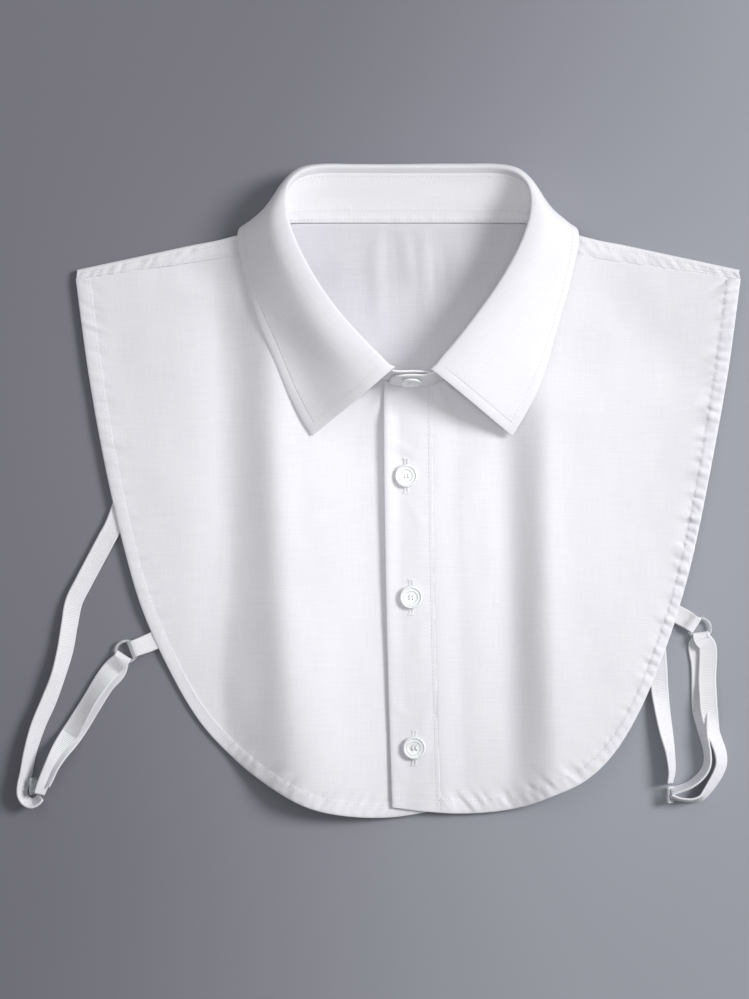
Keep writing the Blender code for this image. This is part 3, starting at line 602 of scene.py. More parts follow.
placket = {
    "width": 24.5, "relief": 0.35, "top": (-12.2, 53.0), "low": (-7.8, -161.4), "bend": 1.8,
    "underlap": 25.0, "wall": 0.7, "stitchIn": 1.7, "hemIn": 6.0, "grid": (200, 40),
    "standOff": 1.9, "flat": (0.0265, 0.222),
    "creases": (
        Crease(((-10, 25.5), (-3, 21.5), (5.5, 16.3)), 0.34, 2.6),
        Crease(((-11.5, 19), (-4, 16.5), (1, 13.5)), -0.22, 2.6),
        Crease(((-1.5, -4.8), (4, -12.5), (7.5, -21)), 0.2, 2.4),
        Crease(((3.5, 37), (-1, 30), (-2, 24)), 0.18, 5),
        Crease(((-9.5, -107.5), (-4, -112), (1, -117.6)), 0.26, 2.6),
        Crease(((11, -112), (8, -119), (9, -125)), 0.2, 2.6),
        Crease(((-7.5, -137), (-3, -144), (-1, -152)), 0.2, 3),
        Crease(((9, -66), (5.5, -76), (7, -88)), 0.18, 3),
    ),
}


def placketEdgeX(y):
    (topX, topY), (lowX, lowY) = placket["top"], placket["low"]
    down = np.clip((topY - np.asarray(y, float)) / (topY - lowY), 0, 1)
    return topX + (lowX - topX) * down ** placket["bend"]


def leftFrontHeight(x, y):
    past = np.asarray(x, float) - placketEdgeX(y) - placket["width"]
    return frontHeight(x, y) + levels["overlapLift"] * smoothstep(1 - past / levels["overlapRelease"])


def neckEdge(numbers, side):
    line = neckLine(numbers, side)
    turn = smoothstep((np.asarray(numbers, float) - 4) / 2)[:, None]
    towardsCloth = unit(np.array([0.0, -1.0]) * (1 - turn) + outwardOf(numbers, side) * turn)
    return line[:, :2] + towardsCloth * levels["panelToStand"]


def sectionAtX(x, side):
    numbers = np.linspace(centreFront - 3, centreFront + 2, 400)
    return numbers[np.abs(neckLine(numbers, side)[:, 0] - x).argmin()]


# ---- fronts ----
fronts = {
    "wall": 0.55, "hemWall": 0.95, "hemWidth": 6.5, "hemRelief": 0.11, "stitchIn": 6.0,
    "grid": (92, 330), "stray": 0.16, "underPlacket": 2.2,
    "flat": {-1: (0.196, 0.292), 1: (0.172, 0.292)}, "area": {-1: 0.0425, 1: 0.0365},
    "ropePitch": 5.6, "overBack": 1.0, "softRest": 0.25, "grooveDeep": 0.15, "placketDip": 0.68,
    "gather": 0.22, "gatherCount": 34, "gatherReach": 13, "bandColumns": 24, "seeds": {-1: 23, 1: 11},
    "hemRows": (9.6, 8.5, 7.7, 7.1, 6.6, 6.0, 5.4, 4.7, 3.9, 3.0, 2.1, 1.3, 0.6, 0.0),
    "creases": {
        -1: (
            Crease(((-136, 116.5), (-112, 112), (-88, 108)), -0.75, 9),
            Crease(((-128, 106), (-108, 100), (-86, 103)), 0.5, 9),
            Crease(((-150, 92), (-146, 70), (-147, 48)), -0.45, 11),
            Crease(((-139, 30), (-128, 8), (-126, -14)), 0.5, 12),
            Crease(((-110, 70), (-112, 20), (-104, -40)), 0.45, 18),
            Crease(((-100, -62), (-104, -96), (-92, -122)), -0.5, 10),
            Crease(((-84, -60), (-86, -98), (-76, -138)), 0.4, 10),
            Crease(((-36, 20), (-34, -40), (-30, -100)), 0.35, 12),
            Crease(((-90, 122), (-89, 30), (-93, -60), (-104, -130)), -1.9, 13),
            Crease(((-70, 110), (-68, 30), (-64, -60), (-59, -150)), 2.1, 10),
            Crease(((-60, -50), (-53, -105), (-43, -158)), 2.6, 22),
            Crease(((-130, -62), (-114, -106), (-88, -138), (-58, -160)), -1.7, 15),
            Crease(((-31, -60), (-35, -105), (-28, -150)), -0.5, 9),
            Crease(((-52, 10), (-55, -10), (-53, -30)), -0.25, 6),
        ),
        1: (
            Crease(((84, 110), (108, 95), (130, 73), (141, 48)), -1.7, 14),
            Crease(((100, 104), (122, 88), (136, 66)), 0.45, 12),
            Crease(((148, 40), (140, 10), (132, -24)), 0.5, 11),
            Crease(((118, 50), (112, -10), (106, -60)), -0.35, 16),
            Crease(((30, 22), (28, -20), (29, -70)), 0.35, 8),
            Crease(((50, 62), (52, 0), (53, -70), (56, -150)), -1.9, 10),
            Crease(((70, 62), (69, 0), (70, -70), (74, -150)), 1.9, 9.5),
            Crease(((44, -40), (45, -95), (41, -140)), -0.4, 9),
            Crease(((90, -60), (96, -96), (88, -128)), -0.4, 10),
            Crease(((122, -20), (118, -60), (106, -100)), 0.4, 11),
        ),
    },
}


def hemShape(off):
    # height of the turned hem above the cloth, by the distance from the edge, with its sewn groove
    band = smoothstep((fronts["hemWidth"] + 0.5 - off) / 1.0)
    plump = 0.07 * np.sin(np.pi * np.clip(off / fronts["stitchIn"], 0, 1))
    groove = fronts["grooveDeep"] * bell(off - fronts["stitchIn"], 0.5)
    return fronts["hemRelief"] * band + plump - groove - 0.2 * smoothstep(1 - off / 1.2)


def fanPlan(inner, outer, count, hemRows):
    # a grid in plan from an inner to an outer line, and how far each place lies from the outer one
    lengths = np.linalg.norm(outer - inner, axis=1)
    steps = []
    for length in lengths:
        main = np.linspace(0, length - hemRows[0] - 1.2, count)
        steps.append(np.concatenate([main, length - np.array(hemRows)]) / length)
    steps = np.array(steps).T
    plan = inner[None] + (outer - inner)[None] * steps[..., None]
    return plan, (1 - steps) * lengths


def hemPuckers(along, off, strength, seed):
    wide = puckers(along, off - fronts["stitchIn"], 2.7, 0.75, 5.5, seed)
    fine = puckers(along, off - fronts["stitchIn"], 1.5, 0.3, 2.6, seed + 7)
    loose = waver(along / 26, 0.5, seed + 13)
    # ridges of the turned band, which lean from the edge down to the stitches
    turn = math.tau * (along + 0.55 * off) / fronts["ropePitch"] + 2.2 * waver(along / 13, 0.5, seed + 21)
    band = smoothstep(off / 1.2) * smoothstep((fronts["stitchIn"] + 1.5 - off) / 2.2)
    rope = (np.abs(np.sin(turn / 2)) ** 1.4 - 0.5) * band * (0.6 + 0.4 * waver(along / 9, 0.5, seed + 31))
    rippled = strength * (0.46 * wide + 0.18 * fine + 0.5 * rope)
    return rippled + 0.22 * loose * bell(off, 14)


def frontPanel(side, name, node):
    columns = fronts["grid"][1]
    band = placket["width"] - fronts["underPlacket"]
    start = sectionAtX(placket["top"][0] + (band if side > 0 else placket["underlap"]), side)
    inner = neckEdge(np.linspace(start, shoulder["seamSection"], 600), side)
    outer = smooth(frontEdges[side], 1200)
    if side > 0:
        outer = outer[outer[:, 0] > placketEdgeX(placket["low"][1]) + band]
    inner, outer = evenly(inner, columns), evenly(outer, columns)
    inner[-1] = np.multiply(shoulder["seamNeck"], (side, 1))
    outer[-1] = np.multiply(shoulder["seamTip"], (side, 1))
    plan, off = fanPlan(inner, outer, fronts["grid"][0], fronts["hemRows"])
    if side > 0:
        # the first columns follow the placket's own line and run on under it
        bend = placketEdgeX(plan[:, :1, 1]) + band - plan[:, :1, 0]
        plan[..., 0] += bend * smoothstep(1 - np.arange(columns) / fronts["bandColumns"])
    x, y = plan[..., 0], plan[..., 1]
    along = runAlong(outer)[None, :] + 0 * off
    # the side edges were pulled in more by the hem's stitching than the bottom was
    if side > 0:
        strength = 1.2 + 1.3 * smoothstep((along - 120) / 90)
    else:
        strength = 0.75 + 0.9 * smoothstep((along - 20) / 25) * smoothstep((130 - along) / 40)
    z = (leftFrontHeight(x, y) if side > 0 else frontHeight(x, y)) + hemShape(off)
    z = z + hemPuckers(along, off, strength, fronts["seeds"][side])
    z = z + creased(x, y, fronts["creases"][side])
    z = z + fronts["stray"] * (waver(x / 17, y / 34, 5) + 0.5 * waver(x / 7, y / 15, 6))
    gathers = np.sin(np.arctan2(y - 80, x * 1.1) * fronts["gatherCount"] + 3 * waver(x / 30, y / 30, 8))
    z = z + fronts["gather"] * gathers * bell(neckDistance(x, y), fronts["gatherReach"])
    if side > 0:
        z = z - fronts["placketDip"] * smoothstep((placketEdgeX(y) + placket["width"] - 0.25 - x) / 1.3)
    # it lies on the back and never dips into it
    low = backHeight(x, y) + fronts["overBack"]
    z = low + fronts["softRest"] * np.logaddexp(0, (z - low) / fronts["softRest"])
    points = np.stack([x, y, z], -1)
    wall = fronts["wall"] + (fronts["hemWall"] - fronts["wall"]) * smoothstep((7.2 - off) / 1.0)
    piece, sheet = clothPiece(name, points, wall, plan, node)
    stitchRow = fronts["grid"][0] + fronts["hemRows"].index(fronts["stitchIn"])
    return piece, [onSheet(sheet, stitchRow, np.linspace(0, columns - 1, 500))]


frontRight, rightSeams = frontPanel(-1, "frontRight", "front_right")
frontLeft, leftSeams = frontPanel(1, "frontLeft", "front_left")
print("fronts ready")


# ---- placket ----
def placketPiece():
    rows, columns = placket["grid"]
    across = np.linspace(0, placket["width"] - levels["seamGap"], columns)
    ends = [sectionAtX(placket["top"][0] + step, 1) for step in (across[0], across[-1])]
    top = neckEdge(np.linspace(*ends, columns), 1)
    outline = smooth(frontEdges[1], 400)
    lowX = placketEdgeX(placket["low"][1]) + across
    lowY = np.interp(lowX, outline[:200, 0], outline[:200, 1])
    y = top[:, 1] + (lowY - top[:, 1]) * np.linspace(0, 1, rows)[:, None]
    x = placketEdgeX(y) + across
    inside = across[-1] - across[None, :] + 0 * y
    outside = across[None, :] + 0 * y
    z = leftFrontHeight(x, y) + placket["relief"]
    z = z - 0.07 * bell(inside - placket["stitchIn"], 0.6)
    z = z + 0.17 * puckers(y, inside - placket["stitchIn"], 2.6, 0.4, 3.0, 41)
    z = z - 0.36 * smoothstep(1 - inside / 9.0)
    opened = smoothstep((44 - y) / 10) * (0.25 + 0.75 * smoothstep((y + 130) / 160))
    z = z + placket["standOff"] * opened * smoothstep(1 - outside / 8.5)
    z = z + 0.10 * puckers(y, outside, 4.5, 0.3, 4.0, 42) - 0.25 * smoothstep(1 - outside / 1.2)
    z = z + creased(x, y, placket["creases"]) + 0.10 * waver(x / 8, y / 14, 43)
    low = y - y[-1]
    z = z - 0.14 * bell(low - placket["hemIn"], 0.6) + 0.12 * smoothstep(placket["hemIn"] + 0.5 - low)
    for buttonX, buttonY in buttons["places"]:
        # each button presses the band down a little around itself
        z = z - 0.14 * bell(np.hypot(x - buttonX, y - buttonY), 7.5)
    piece, sheet = clothPiece("buttonPlacket", np.stack([x, y, z], -1), placket["wall"],
                              np.stack([x, y], -1), "button_placket")
    stitchColumn = (columns - 1) * (1 - placket["stitchIn"] / across[-1])
    hemRow = (rows - 1) * (1 - placket["hemIn"] / (top[0, 1] - lowY[0]))
    return piece, [onSheet(sheet, np.linspace(0, rows - 1, 260), stitchColumn),
                   onSheet(sheet, hemRow, np.linspace(0.5, columns - 1.5, 30))]


buttons = {
    "places": ((-1.0, 6.9), (1.5, -54.8), (3.1, -131.3)), "turns": (4, -5, 3),
    "holeRadius": 0.52, "holeSpread": 1.25, "sides": 72,
    "profile": (
        (0, 1.42), (2.5, 1.42), (2.95, 1.47), (3.25, 1.66), (3.5, 1.78), (3.8, 1.78), (4.1, 1.68),
        (4.4, 1.7), (4.7, 1.95), (4.95, 2.14), (5.2, 2.2), (5.5, 2.08), (5.75, 1.75), (5.85, 1.35),
        (5.8, 0.95), (5.5, 0.45), (5.0, 0.12), (4.4, 0.0), (0, 0.0)),
    "collarX": 1.5, "collarUp": 10.5, "collarSquash": (0.88, 0.88, 0.6),
    "collarRise": 1.2, "threadRadius": 0.21, "threadRise": 1.74,
}
placketObject, placketSeams = placketPiece()
print("placket ready")

# ---- back ----
back = {
    "wall": 0.55, "inset": 2.5, "grid": (70, 330), "shadedSingleReach": 66.0, "flat": (0.346, 0.306),
    "area": 0.0845, "stitchColumns": (2.2, 11.0), "foldStitch": 1.4, "seamStitch": 1.2,
    "creases": (
        Crease(((-15.5, 133), (-16.5, 112), (-13.5, 78)), 0.85, 4.2),
        Crease(((-9.5, 133), (-9, 118), (-7, 96)), -0.6, 3.6),
        Crease(((-2.5, 134), (-0.5, 119), (3, 100)), 0.55, 3.4),
        Crease(((7.5, 133), (8.5, 112), (10, 84)), 0.75, 4.0),
        Crease(((14, 132), (15.5, 110), (17.5, 80)), -0.6, 4.4),
        Crease(((24, 133), (26, 112), (24, 90)), 0.4, 5.0),
        Crease(((-33, 132), (-35, 108), (-30, 84)), 0.4, 7.0),
        Crease(((36, 130), (30, 100), (22, 72)), -0.4, 8.0),
    ),
}


def shoulderFold(side, shares, turn):
    # one line of the half round fold at the shoulder's edge, by how far it has turned
    neck, tip = np.array(shoulder["neck"]), np.array(shoulder["tip"])
    line = neck + (tip - neck) * shares[:, None]
    out = unit([tip[1] - neck[1], -(tip[0] - neck[0])]) * -1
    line[:, 0] *= side
    out = out * (side, 1)
    low, high = backHeight(line[:, 0], line[:, 1]), frontHeight(line[:, 0], line[:, 1])
    radius = (high - low) / 2
    angle = turn * math.pi / 2
    return np.column_stack([line + out * (radius * math.cos(angle))[:, None],
                            low + radius * (1 + math.sin(angle))])


def turnover(side, shares):
    # the strip that is turned over the shoulder's edge and sewn to the front
    bends = (-0.8, -0.6, -0.4, -0.2, 0.0, 0.2, 0.4, 0.6, 0.8, 1.0)
    turns = [shoulderFold(side, shares, turn) for turn in bends]
    neck, tip = np.array(shoulder["seamNeck"]), np.array(shoulder["seamTip"])
    seam = (neck + (tip - neck) * shares[:, None]) * (side, 1)
    seam[:, 1] += 0.02
    top = turns[-1][:, :2]
    wide = np.linalg.norm(seam - top, axis=1)
    run = shares * np.linalg.norm(tip - neck)
    for share in np.linspace(0, 1, 15)[1:]:
        flat = top + (seam - top) * share
        height = frontHeight(flat[:, 0], flat[:, 1])
        down = wide * (1 - share)
        fromFold, fromSeam = share * wide - back["seamStitch"], down - back["foldStitch"]
        height += 0.34 * puckers(run, fromSeam, 2.2, 0.6, 3.2, 61 + side)
        height += 0.4 * puckers(run, fromFold, 2.0, -0.5, 2.6, 65 + side)
        height += 0.16 * smoothstep(share * 3) - 0.14 * bell(fromSeam, 0.5)
        height -= 0.1 * bell(fromFold, 0.5) + 0.22 * smoothstep((share - 0.86) / 0.14)
        turns.append(np.column_stack([flat, height]))
    return np.stack(turns, 1)


def backPanel():
    rows, columns = back["grid"]
    right = neckEdge(np.linspace(shoulder["foldSection"], 0, 300), -1)
    left = neckEdge(np.linspace(0, shoulder["foldSection"], 300), 1)
    inner = evenly(np.vstack([right, left[1:]]), columns)
    neck, tip = shoulder["neck"], shoulder["tip"]
    inner[0], inner[-1] = (-neck[0], neck[1]), neck
    rightEdge, leftEdge = smooth(frontEdges[-1], 800), smooth(frontEdges[1], 800)
    rightEdge = rightEdge[rightEdge[:, 0] < 0][::-1]
    outline = np.vstack([rightEdge, leftEdge[leftEdge[:, 0] > 0.5]])
    outline[:, 1] = np.minimum(outline[:, 1], tip[1])
    outline = outline + unit(np.array([0.0, 60.0]) - outline) * back["inset"]
    outer = evenly(outline, columns)
    outer[0], outer[-1] = (-tip[0], tip[1]), tip
    plan, off = fanPlan(inner, outer, rows, fronts["hemRows"])
    x, y = plan[..., 0], plan[..., 1]
    along = runAlong(outer)[None, :] + 0 * off
    z = backHeight(x, y) + 0.45 * hemShape(off)
    z = z + 0.1 * puckers(along, off - fronts["stitchIn"], 2.7, 0.7, 5.0, 71)
    seen = smoothstep((y - 50) / 20) * smoothstep((60 - np.abs(x)) / 12)
    shallow = creased(x, y, back["creases"]) * seen
    z = z + np.maximum(shallow, -0.25) + 0.12 * waver(x / 15, y / 26, 73)
    z = np.maximum(z, 0.5 * back["wall"] + 0.05)
    body = np.dstack([plan, z])
    shares = 1 - off[:, 0] / np.linalg.norm(outer[0] - inner[0])
    rightTurn, leftTurn = turnover(-1, shares)[:, ::-1], turnover(1, shares)
    points = np.concatenate([rightTurn, body, leftTurn], axis=1)
    turned = np.arange(leftTurn.shape[1])[None, :, None]
    weave = np.concatenate([plan[:, :1] + (turned - turned.size) * (0.0, -0.5), plan,
                            plan[:, -1:] + (turned + 1) * (0.0, 0.5)], axis=1)
    piece, sheet = clothPiece("backPanel", points, back["wall"], weave, "back_panel")
    # painted shade: faces near the middle, the ones seen through the neck, take the darker poplin
    piece.data.materials.append(thinShadedPoplin)
    for face in piece.data.polygons:
        face.material_index = int(abs(face.center.x) < back["shadedSingleReach"] * mm)
    # two rows of stitches on each turned strip, so many grid columns from its seam
    upright = Sheet(points, np.zeros_like(points) + (0, 0, 1), sheet.wall)
    rowSpan = np.linspace(1, points.shape[0] - 1.2, 170)
    seams = [onSheet(upright, rowSpan, seam + way * inward)
             for seam, way in ((0.0, 1), (points.shape[1] - 1.0, -1)) for inward in back["stitchColumns"]]
    return piece, seams


backObject, backSeams = backPanel()
print("back ready")

# ---- stand and leaf ----
stand = {
    "wall": 1.0, "layersApart": 1.9, "endRound": 9.0, "belowRoll": 3.6, "grid": (30, 420),
    "ends": {-1: centreFront + 1.0, 1: centreFront + 0.93},
    "flat": (0.028, 0.392), "area": 0.0096, "stitchUp": (1.6, 6.6), "stitchDown": 1.5,
}
leaf = {
    "wall": 1.05, "end": 13.0, "stitchIn": 4.6, "stitchStop": 5.2, "grid": (48, 380),
    "flat": (0.062, 0.43), "area": 0.0197,
    "rollRuns": (0, 0.8, 1.6, 2.4, 3.0, 3.6, 4.1, 4.7, 5.4, 6.2, 7.2, 8.4),
    "edgeStops": (5.8, 5.2, 4.6, 3.8, 2.9, 2.0, 1.2, 0.5, 0.0),
    "endStops": (6.8, 6.2, 5.7, 5.2, 4.7, 4.1, 3.4, 2.6, 1.8, 1.1, 0.5, 0.0),
}


def standLines(numbers, side):
    # the foot and the roll of the stand; its two ends are set apart where they lap at the throat
    neck = neckLine(numbers, side)
    roll = collarLine(lambda s: s.roll, numbers, side)
    x, y, share = neck.T
    front = leftFrontHeight(x, y) + placket["relief"] if side > 0 else frontHeight(x, y)
    footZ = backHeight(x, y) * (1 - share) + (front + levels["standAboveFront"]) * share
    lap = side * stand["layersApart"] / 2 * smoothstep((np.asarray(numbers) - leaf["end"] + 0.6) / 1.2)
    out = outwardOf(numbers, side) * lap[:, None]
    foot = np.column_stack([neck[:, :2] + out, footZ])
    roll = roll.copy()
    roll[:, :2] += out
    return foot, roll


def standTop(foot, roll):
    return roll - unit(roll - foot) * (stand["belowRoll"] + levels["seamGap"])


def collarStand():
    rows, columns = stand["grid"]
    halves = []
    for side in (-1, 1):
        foot, roll = standLines(np.linspace(0, stand["ends"][side], 900), side)
        halves.append(evenly(np.hstack([foot, standTop(foot, roll)]), columns // 2))
    line = np.vstack([halves[0][::-1], halves[1][1:]])
    foot, top = line[:, :3], line[:, 3:]
    run = runAlong(foot)
    cut = np.clip(1 - np.minimum(run, run[-1] - run) / stand["endRound"], 0, 1)
    height = 1 - 0.5 * (1 - np.sqrt(1 - 0.98 * cut**2))
    shares = np.linspace(0, 1, rows)
    points = foot[None] + (top - foot)[None] * (shares[:, None] * height)[..., None]
    normals = normalsOf(points)
    tall = np.linalg.norm(top - foot, axis=1)[None, :] * height
    up = shares[:, None] * tall
    band = run[None, :] + 0 * up
    low, high = (up - above for above in stand["stitchUp"])
    dent = -0.14 * bell(low, 0.5) - 0.12 * bell(high, 0.5)
    dent = dent + 0.13 * puckers(band, low, 2.0, 0.5, 2.6, 81)
    dent = dent + 0.07 * puckers(band, high, 2.2, 0.4, 2.4, 82)
    dent = dent + 0.26 * waver(band / 24, up / 11, 83) * np.sin(np.pi * shares)[:, None]
    ease = smoothstep(np.minimum(run, run[-1] - run) / 10)[None, :]
    points = points - normals * (dent * ease)[..., None]
    weave = np.stack([band, up], -1)
    piece, sheet = clothPiece("collarStand", points, stand["wall"], weave, "collar_stand")
    # painted light: the stand takes the lighter interlined poplin
    piece.data.materials[0] = interlinedLitPoplin
    middle = points[:, points.shape[1] // 2]
    inside = np.array([0.0, -1.0, 0.6]) @ sheet.normals[rows // 2, points.shape[1] // 2]
    face = 1.0 if inside > 0 else -1.0
    spanned = np.linspace(3, points.shape[1] - 4, 900)
    fullHeight = np.linalg.norm(middle[-1] - middle[0])
    seams = [onSheet(sheet, (rows - 1) * above / fullHeight, spanned, face)
             for above in (*stand["stitchUp"], fullHeight - stand["stitchDown"])]
    return piece, seams


def leafLines(numbers, side):
    rows = []
    for section in collarSections:
        x, y, z = section.edge
        if z is None:
            at = shifted([(side * x, y)])[0]
            z = float((leftFrontHeight if side > 0 else frontHeight)(*at)) + levels["leafOnPanel"]
        rows.append([*section.brow, *section.knee, x, y, z])
    rows = np.array(rows, float)
    flip = np.tile([-1.0, 1.0, 1.0], 3)
    line = smoothAt(np.vstack([rows[1] * flip, rows]), np.asarray(numbers, float) + 1)
    parts = []
    for part in np.split(line, 3, axis=1):
        part[:, 0] *= side
        parts.append(shifted(part))
    return parts


def leafProfiles(numbers, side):
    # the leaf's cross sections, from under the roll to the edge, with more rows at the roll and the hem
    foot, roll = standLines(numbers, side)
    up = unit(roll - foot)
    lines = [roll - up * stand["belowRoll"], roll, *leafLines(numbers, side)]
    profiles = []
    for rows in np.stack(lines, 1):
        fine = smooth(rows, 240)
        fine[:, 2] = np.maximum(fine[:, 2], leaf["wall"] / 2)
        run = runAlong(fine)
        rollRuns, edge = leaf["rollRuns"], run[-1] - np.array(leaf["edgeStops"])
        main = np.linspace(rollRuns[-1], run[-1] - 6.4, leaf["grid"][0] - len(rollRuns) - len(edge))[1:]
        stops = np.concatenate([rollRuns, main, edge])
        profiles.append(np.column_stack([np.interp(stops, run, column) for column in fine.T]))
    return np.array(profiles)


def leafNumbers():
    # closer together at the end of the leaf, where its front edge is sewn
    numbers = np.linspace(0, leaf["end"], 800)
    roll, edge = standLines(numbers, 1)[1], leafLines(numbers, 1)[2]
    run = runAlong((roll + edge) / 2)
    end = run[-1] - np.array(leaf["endStops"])
    stops = np.concatenate([np.linspace(0, run[-1] - 7.5, leaf["grid"][1] // 2 - len(end)), end])
    return np.interp(stops, run, numbers)


def collarLeaf():
    numbers = leafNumbers()
    right, left = leafProfiles(numbers, -1), leafProfiles(numbers, 1)
    points = np.concatenate([right[::-1], left[1:]]).transpose(1, 0, 2)
    rows, columns = points.shape[:2]
    normals = normalsOf(points)
    outward = np.sign(normals[rows // 2, columns // 4, 2])
    normals = normals * outward
    across = np.cumsum(np.linalg.norm(np.diff(points, axis=0, prepend=points[:1]), axis=2), axis=0)
    fromEdge = across[-1] - across
    along = np.cumsum(np.linalg.norm(np.diff(points, axis=1, prepend=points[:, :1]), axis=2), axis=1)
    fromEnd = np.minimum(along, along[:, -1:] - along)
    nearest = np.minimum(fromEdge, fromEnd)
    stitched = nearest - leaf["stitchIn"]
    pastRoll = smoothstep((across - 8) / 6)
    raised = -0.12 * bell(stitched, 0.45) * pastRoll
    raised = raised + 0.03 * np.sin(np.pi * np.clip(nearest / leaf["stitchIn"], 0, 1))
    raised = raised + 0.10 * puckers(along, stitched, 2.4, 0.4, 3.0, 91) * pastRoll
    body = smoothstep(across / 14) * smoothstep(fromEdge / 14)
    raised = raised + body * 0.55 * waver(along / 34, across / 17, 92)
    # the end of the leaf bows a little between the roll and its point
    raised = raised + 0.5 * bell(fromEnd, 16) * np.sin(np.pi * np.clip(across / across[-1:], 0, 1)) ** 1.5
    points = points + normals * (raised * smoothstep(across / 6))[..., None]
    weave = np.stack([along, across], -1)
    thick = leaf["wall"] - 0.25 * smoothstep(1 - nearest / 1.4)
    points[..., 2] = np.maximum(points[..., 2], thick / 2)
    piece, sheet = clothPiece("collarLeaf", points, thick, weave, "collar_leaf")
    face = outward * np.sign(sheet.normals[rows // 2, columns // 4] @ normals[rows // 2, columns // 4])
    edgeRow = rows - len(leaf["edgeStops"]) + leaf["edgeStops"].index(leaf["stitchStop"])
    endColumn = columns - len(leaf["endStops"]) + leaf["endStops"].index(leaf["stitchStop"])
    ends = (columns - 1 - endColumn, endColumn)
    seams = [onSheet(sheet, edgeRow, np.linspace(*ends, 900), face)]
    downTheEnd = np.linspace(len(leaf["rollRuns"]) - 1, edgeRow, 90)
    seams += [onSheet(sheet, downTheEnd, end, face) for end in ends]
    return piece, seams


standObject, standSeams = collarStand()
leafObject, leafSeams = collarLeaf()
print("stand and leaf ready")


# ---- geometry nodes ----
class Board:
    # one Geometry Nodes tree and the calls that fill it
    def __init__(self, name, inputs):
        self.tree = bpy.data.node_groups.new(name, "GeometryNodeTree")
        side = self.tree.interface
        side.new_socket(name="Geometry", in_out="OUTPUT", socket_type="NodeSocketGeometry")
        self.ids = {}
        for label, (kind, value) in inputs.items():
            socket = side.new_socket(name=label, in_out="INPUT", socket_type=f"NodeSocket{kind}")
            if value is not None:
                socket.default_value = value
            self.ids[label] = socket.identifier
        self.inlet = self.tree.nodes.new("NodeGroupInput")
        self.outlet = self.tree.nodes.new("NodeGroupOutput")

    def given(self, label):
        return self.inlet.outputs[label]

    def node(self, kind, settings=None, sockets=None, output=0):
        made = self.tree.nodes.new(kind)
        for name, value in (settings or {}).items():
            setattr(made, name, value)
        for name, value in (sockets or {}).items():
            if isinstance(value, bpy.types.NodeSocket):
                self.tree.links.new(value, made.inputs[name])
            else:
                made.inputs[name].default_value = value
        return made.outputs[output]

    def finish(self, geometry):
        real = self.node("GeometryNodeRealizeInstances", {}, {"Geometry": geometry})
        done = self.node("GeometryNodeSetMaterial", {},
                         {"Geometry": real, "Material": self.given("Finish")})
        self.tree.links.new(done, self.outlet.inputs[0])


def stitchBoard():
    # small thread beads along guide lines; Across turns each one from along the line to across it
    board = Board("stitches", {
        "Guides": ("Geometry", None), "Pitch": ("Float", 0.0022), "Length": ("Float", 0.0017),
        "Thread": ("Float", 0.00028), "Across": ("Float", 0.0), "Seed": ("Int", 3),
        "Finish": ("Material", None),
    })
    lines = board.node("GeometryNodeMeshToCurve", {}, {"Mesh": board.given("Guides")})
    spaced = board.node("GeometryNodeResampleCurve", {"mode": "LENGTH"},
                        {"Curve": lines, "Length": board.given("Pitch")})
    tangent = board.node("GeometryNodeInputTangent")
    sideways = board.node("ShaderNodeVectorMath", {"operation": "CROSS_PRODUCT"},
                          {0: tangent, 1: (0.0, 0.0, 1.0)})
    heading = board.node("ShaderNodeMix", {"data_type": "VECTOR"},
                         {0: board.given("Across"), 4: tangent, 5: sideways}, 1)
    jitter = board.node("FunctionNodeRandomValue", {"data_type": "FLOAT_VECTOR"},
                        {0: (-0.09, -0.09, -0.03), 1: (0.09, 0.09, 0.03), "Seed": board.given("Seed")})
    loose = board.node("ShaderNodeVectorMath", {"operation": "ADD"}, {0: heading, 1: jitter})
    turned = board.node("FunctionNodeAlignRotationToVector", {"axis": "Z"}, {"Vector": loose})
    bead = board.node("GeometryNodeMeshUVSphere", {}, {"Segments": 6, "Rings": 5, "Radius": 0.5})
    size = board.node("ShaderNodeCombineXYZ", {}, {0: board.given("Thread"), 1: board.given("Thread"),
                                                  2: board.given("Length")})
    beads = board.node("GeometryNodeInstanceOnPoints", {},
                       {"Points": spaced, "Instance": bead, "Rotation": turned, "Scale": size})
    board.finish(board.node("GeometryNodeSetShadeSmooth", {}, {"Geometry": beads}))
    return board


def ribBoard():
    # transverse ribs of woven elastic, from the lengthways and sideways place kept on its mesh
    board = Board("elasticRibs", {
        "Ribbon": ("Geometry", None), "Rib Pitch": ("Float", 0.8), "Rib Height": ("Float", 0.00012),
        "Edge Cord": ("Float", 0.00016), "Finish": ("Material", None),
    })
    along, across = (board.node("GeometryNodeInputNamedAttribute", {"data_type": "FLOAT"}, {"Name": name})
                     for name in ("along", "across"))

    def maths(operation, *values):
        return board.node("ShaderNodeMath", {"operation": operation}, dict(enumerate(values)))

    wave = maths("SINE", maths("DIVIDE", maths("MULTIPLY", along, math.tau), board.given("Rib Pitch")))
    flank = maths("POWER", maths("ABSOLUTE", across), 6.0)
    ribs = maths("MULTIPLY", maths("MULTIPLY", wave, maths("SUBTRACT", 1.0, flank)),
                 board.given("Rib Height"))
    cord = maths("MULTIPLY", flank, board.given("Edge Cord"))
    lift = maths("ADD", ribs, cord)
    normal = board.node("GeometryNodeInputNormal")
    offset = board.node("ShaderNodeVectorMath", {"operation": "SCALE"}, {0: normal, "Scale": lift})
    board.finish(board.node("GeometryNodeSetPosition", {},
                            {"Geometry": board.given("Ribbon"), "Offset": offset}))
    return board


def evaluated(thing):
    # the mesh that an object's modifiers or curve make, in place of the object
    bpy.context.view_layer.update()
    graph = bpy.context.evaluated_depsgraph_get()
    mesh = bpy.data.meshes.new_from_object(thing.evaluated_get(graph), depsgraph=graph)
    bpy.data.objects.remove(thing)
    return mesh


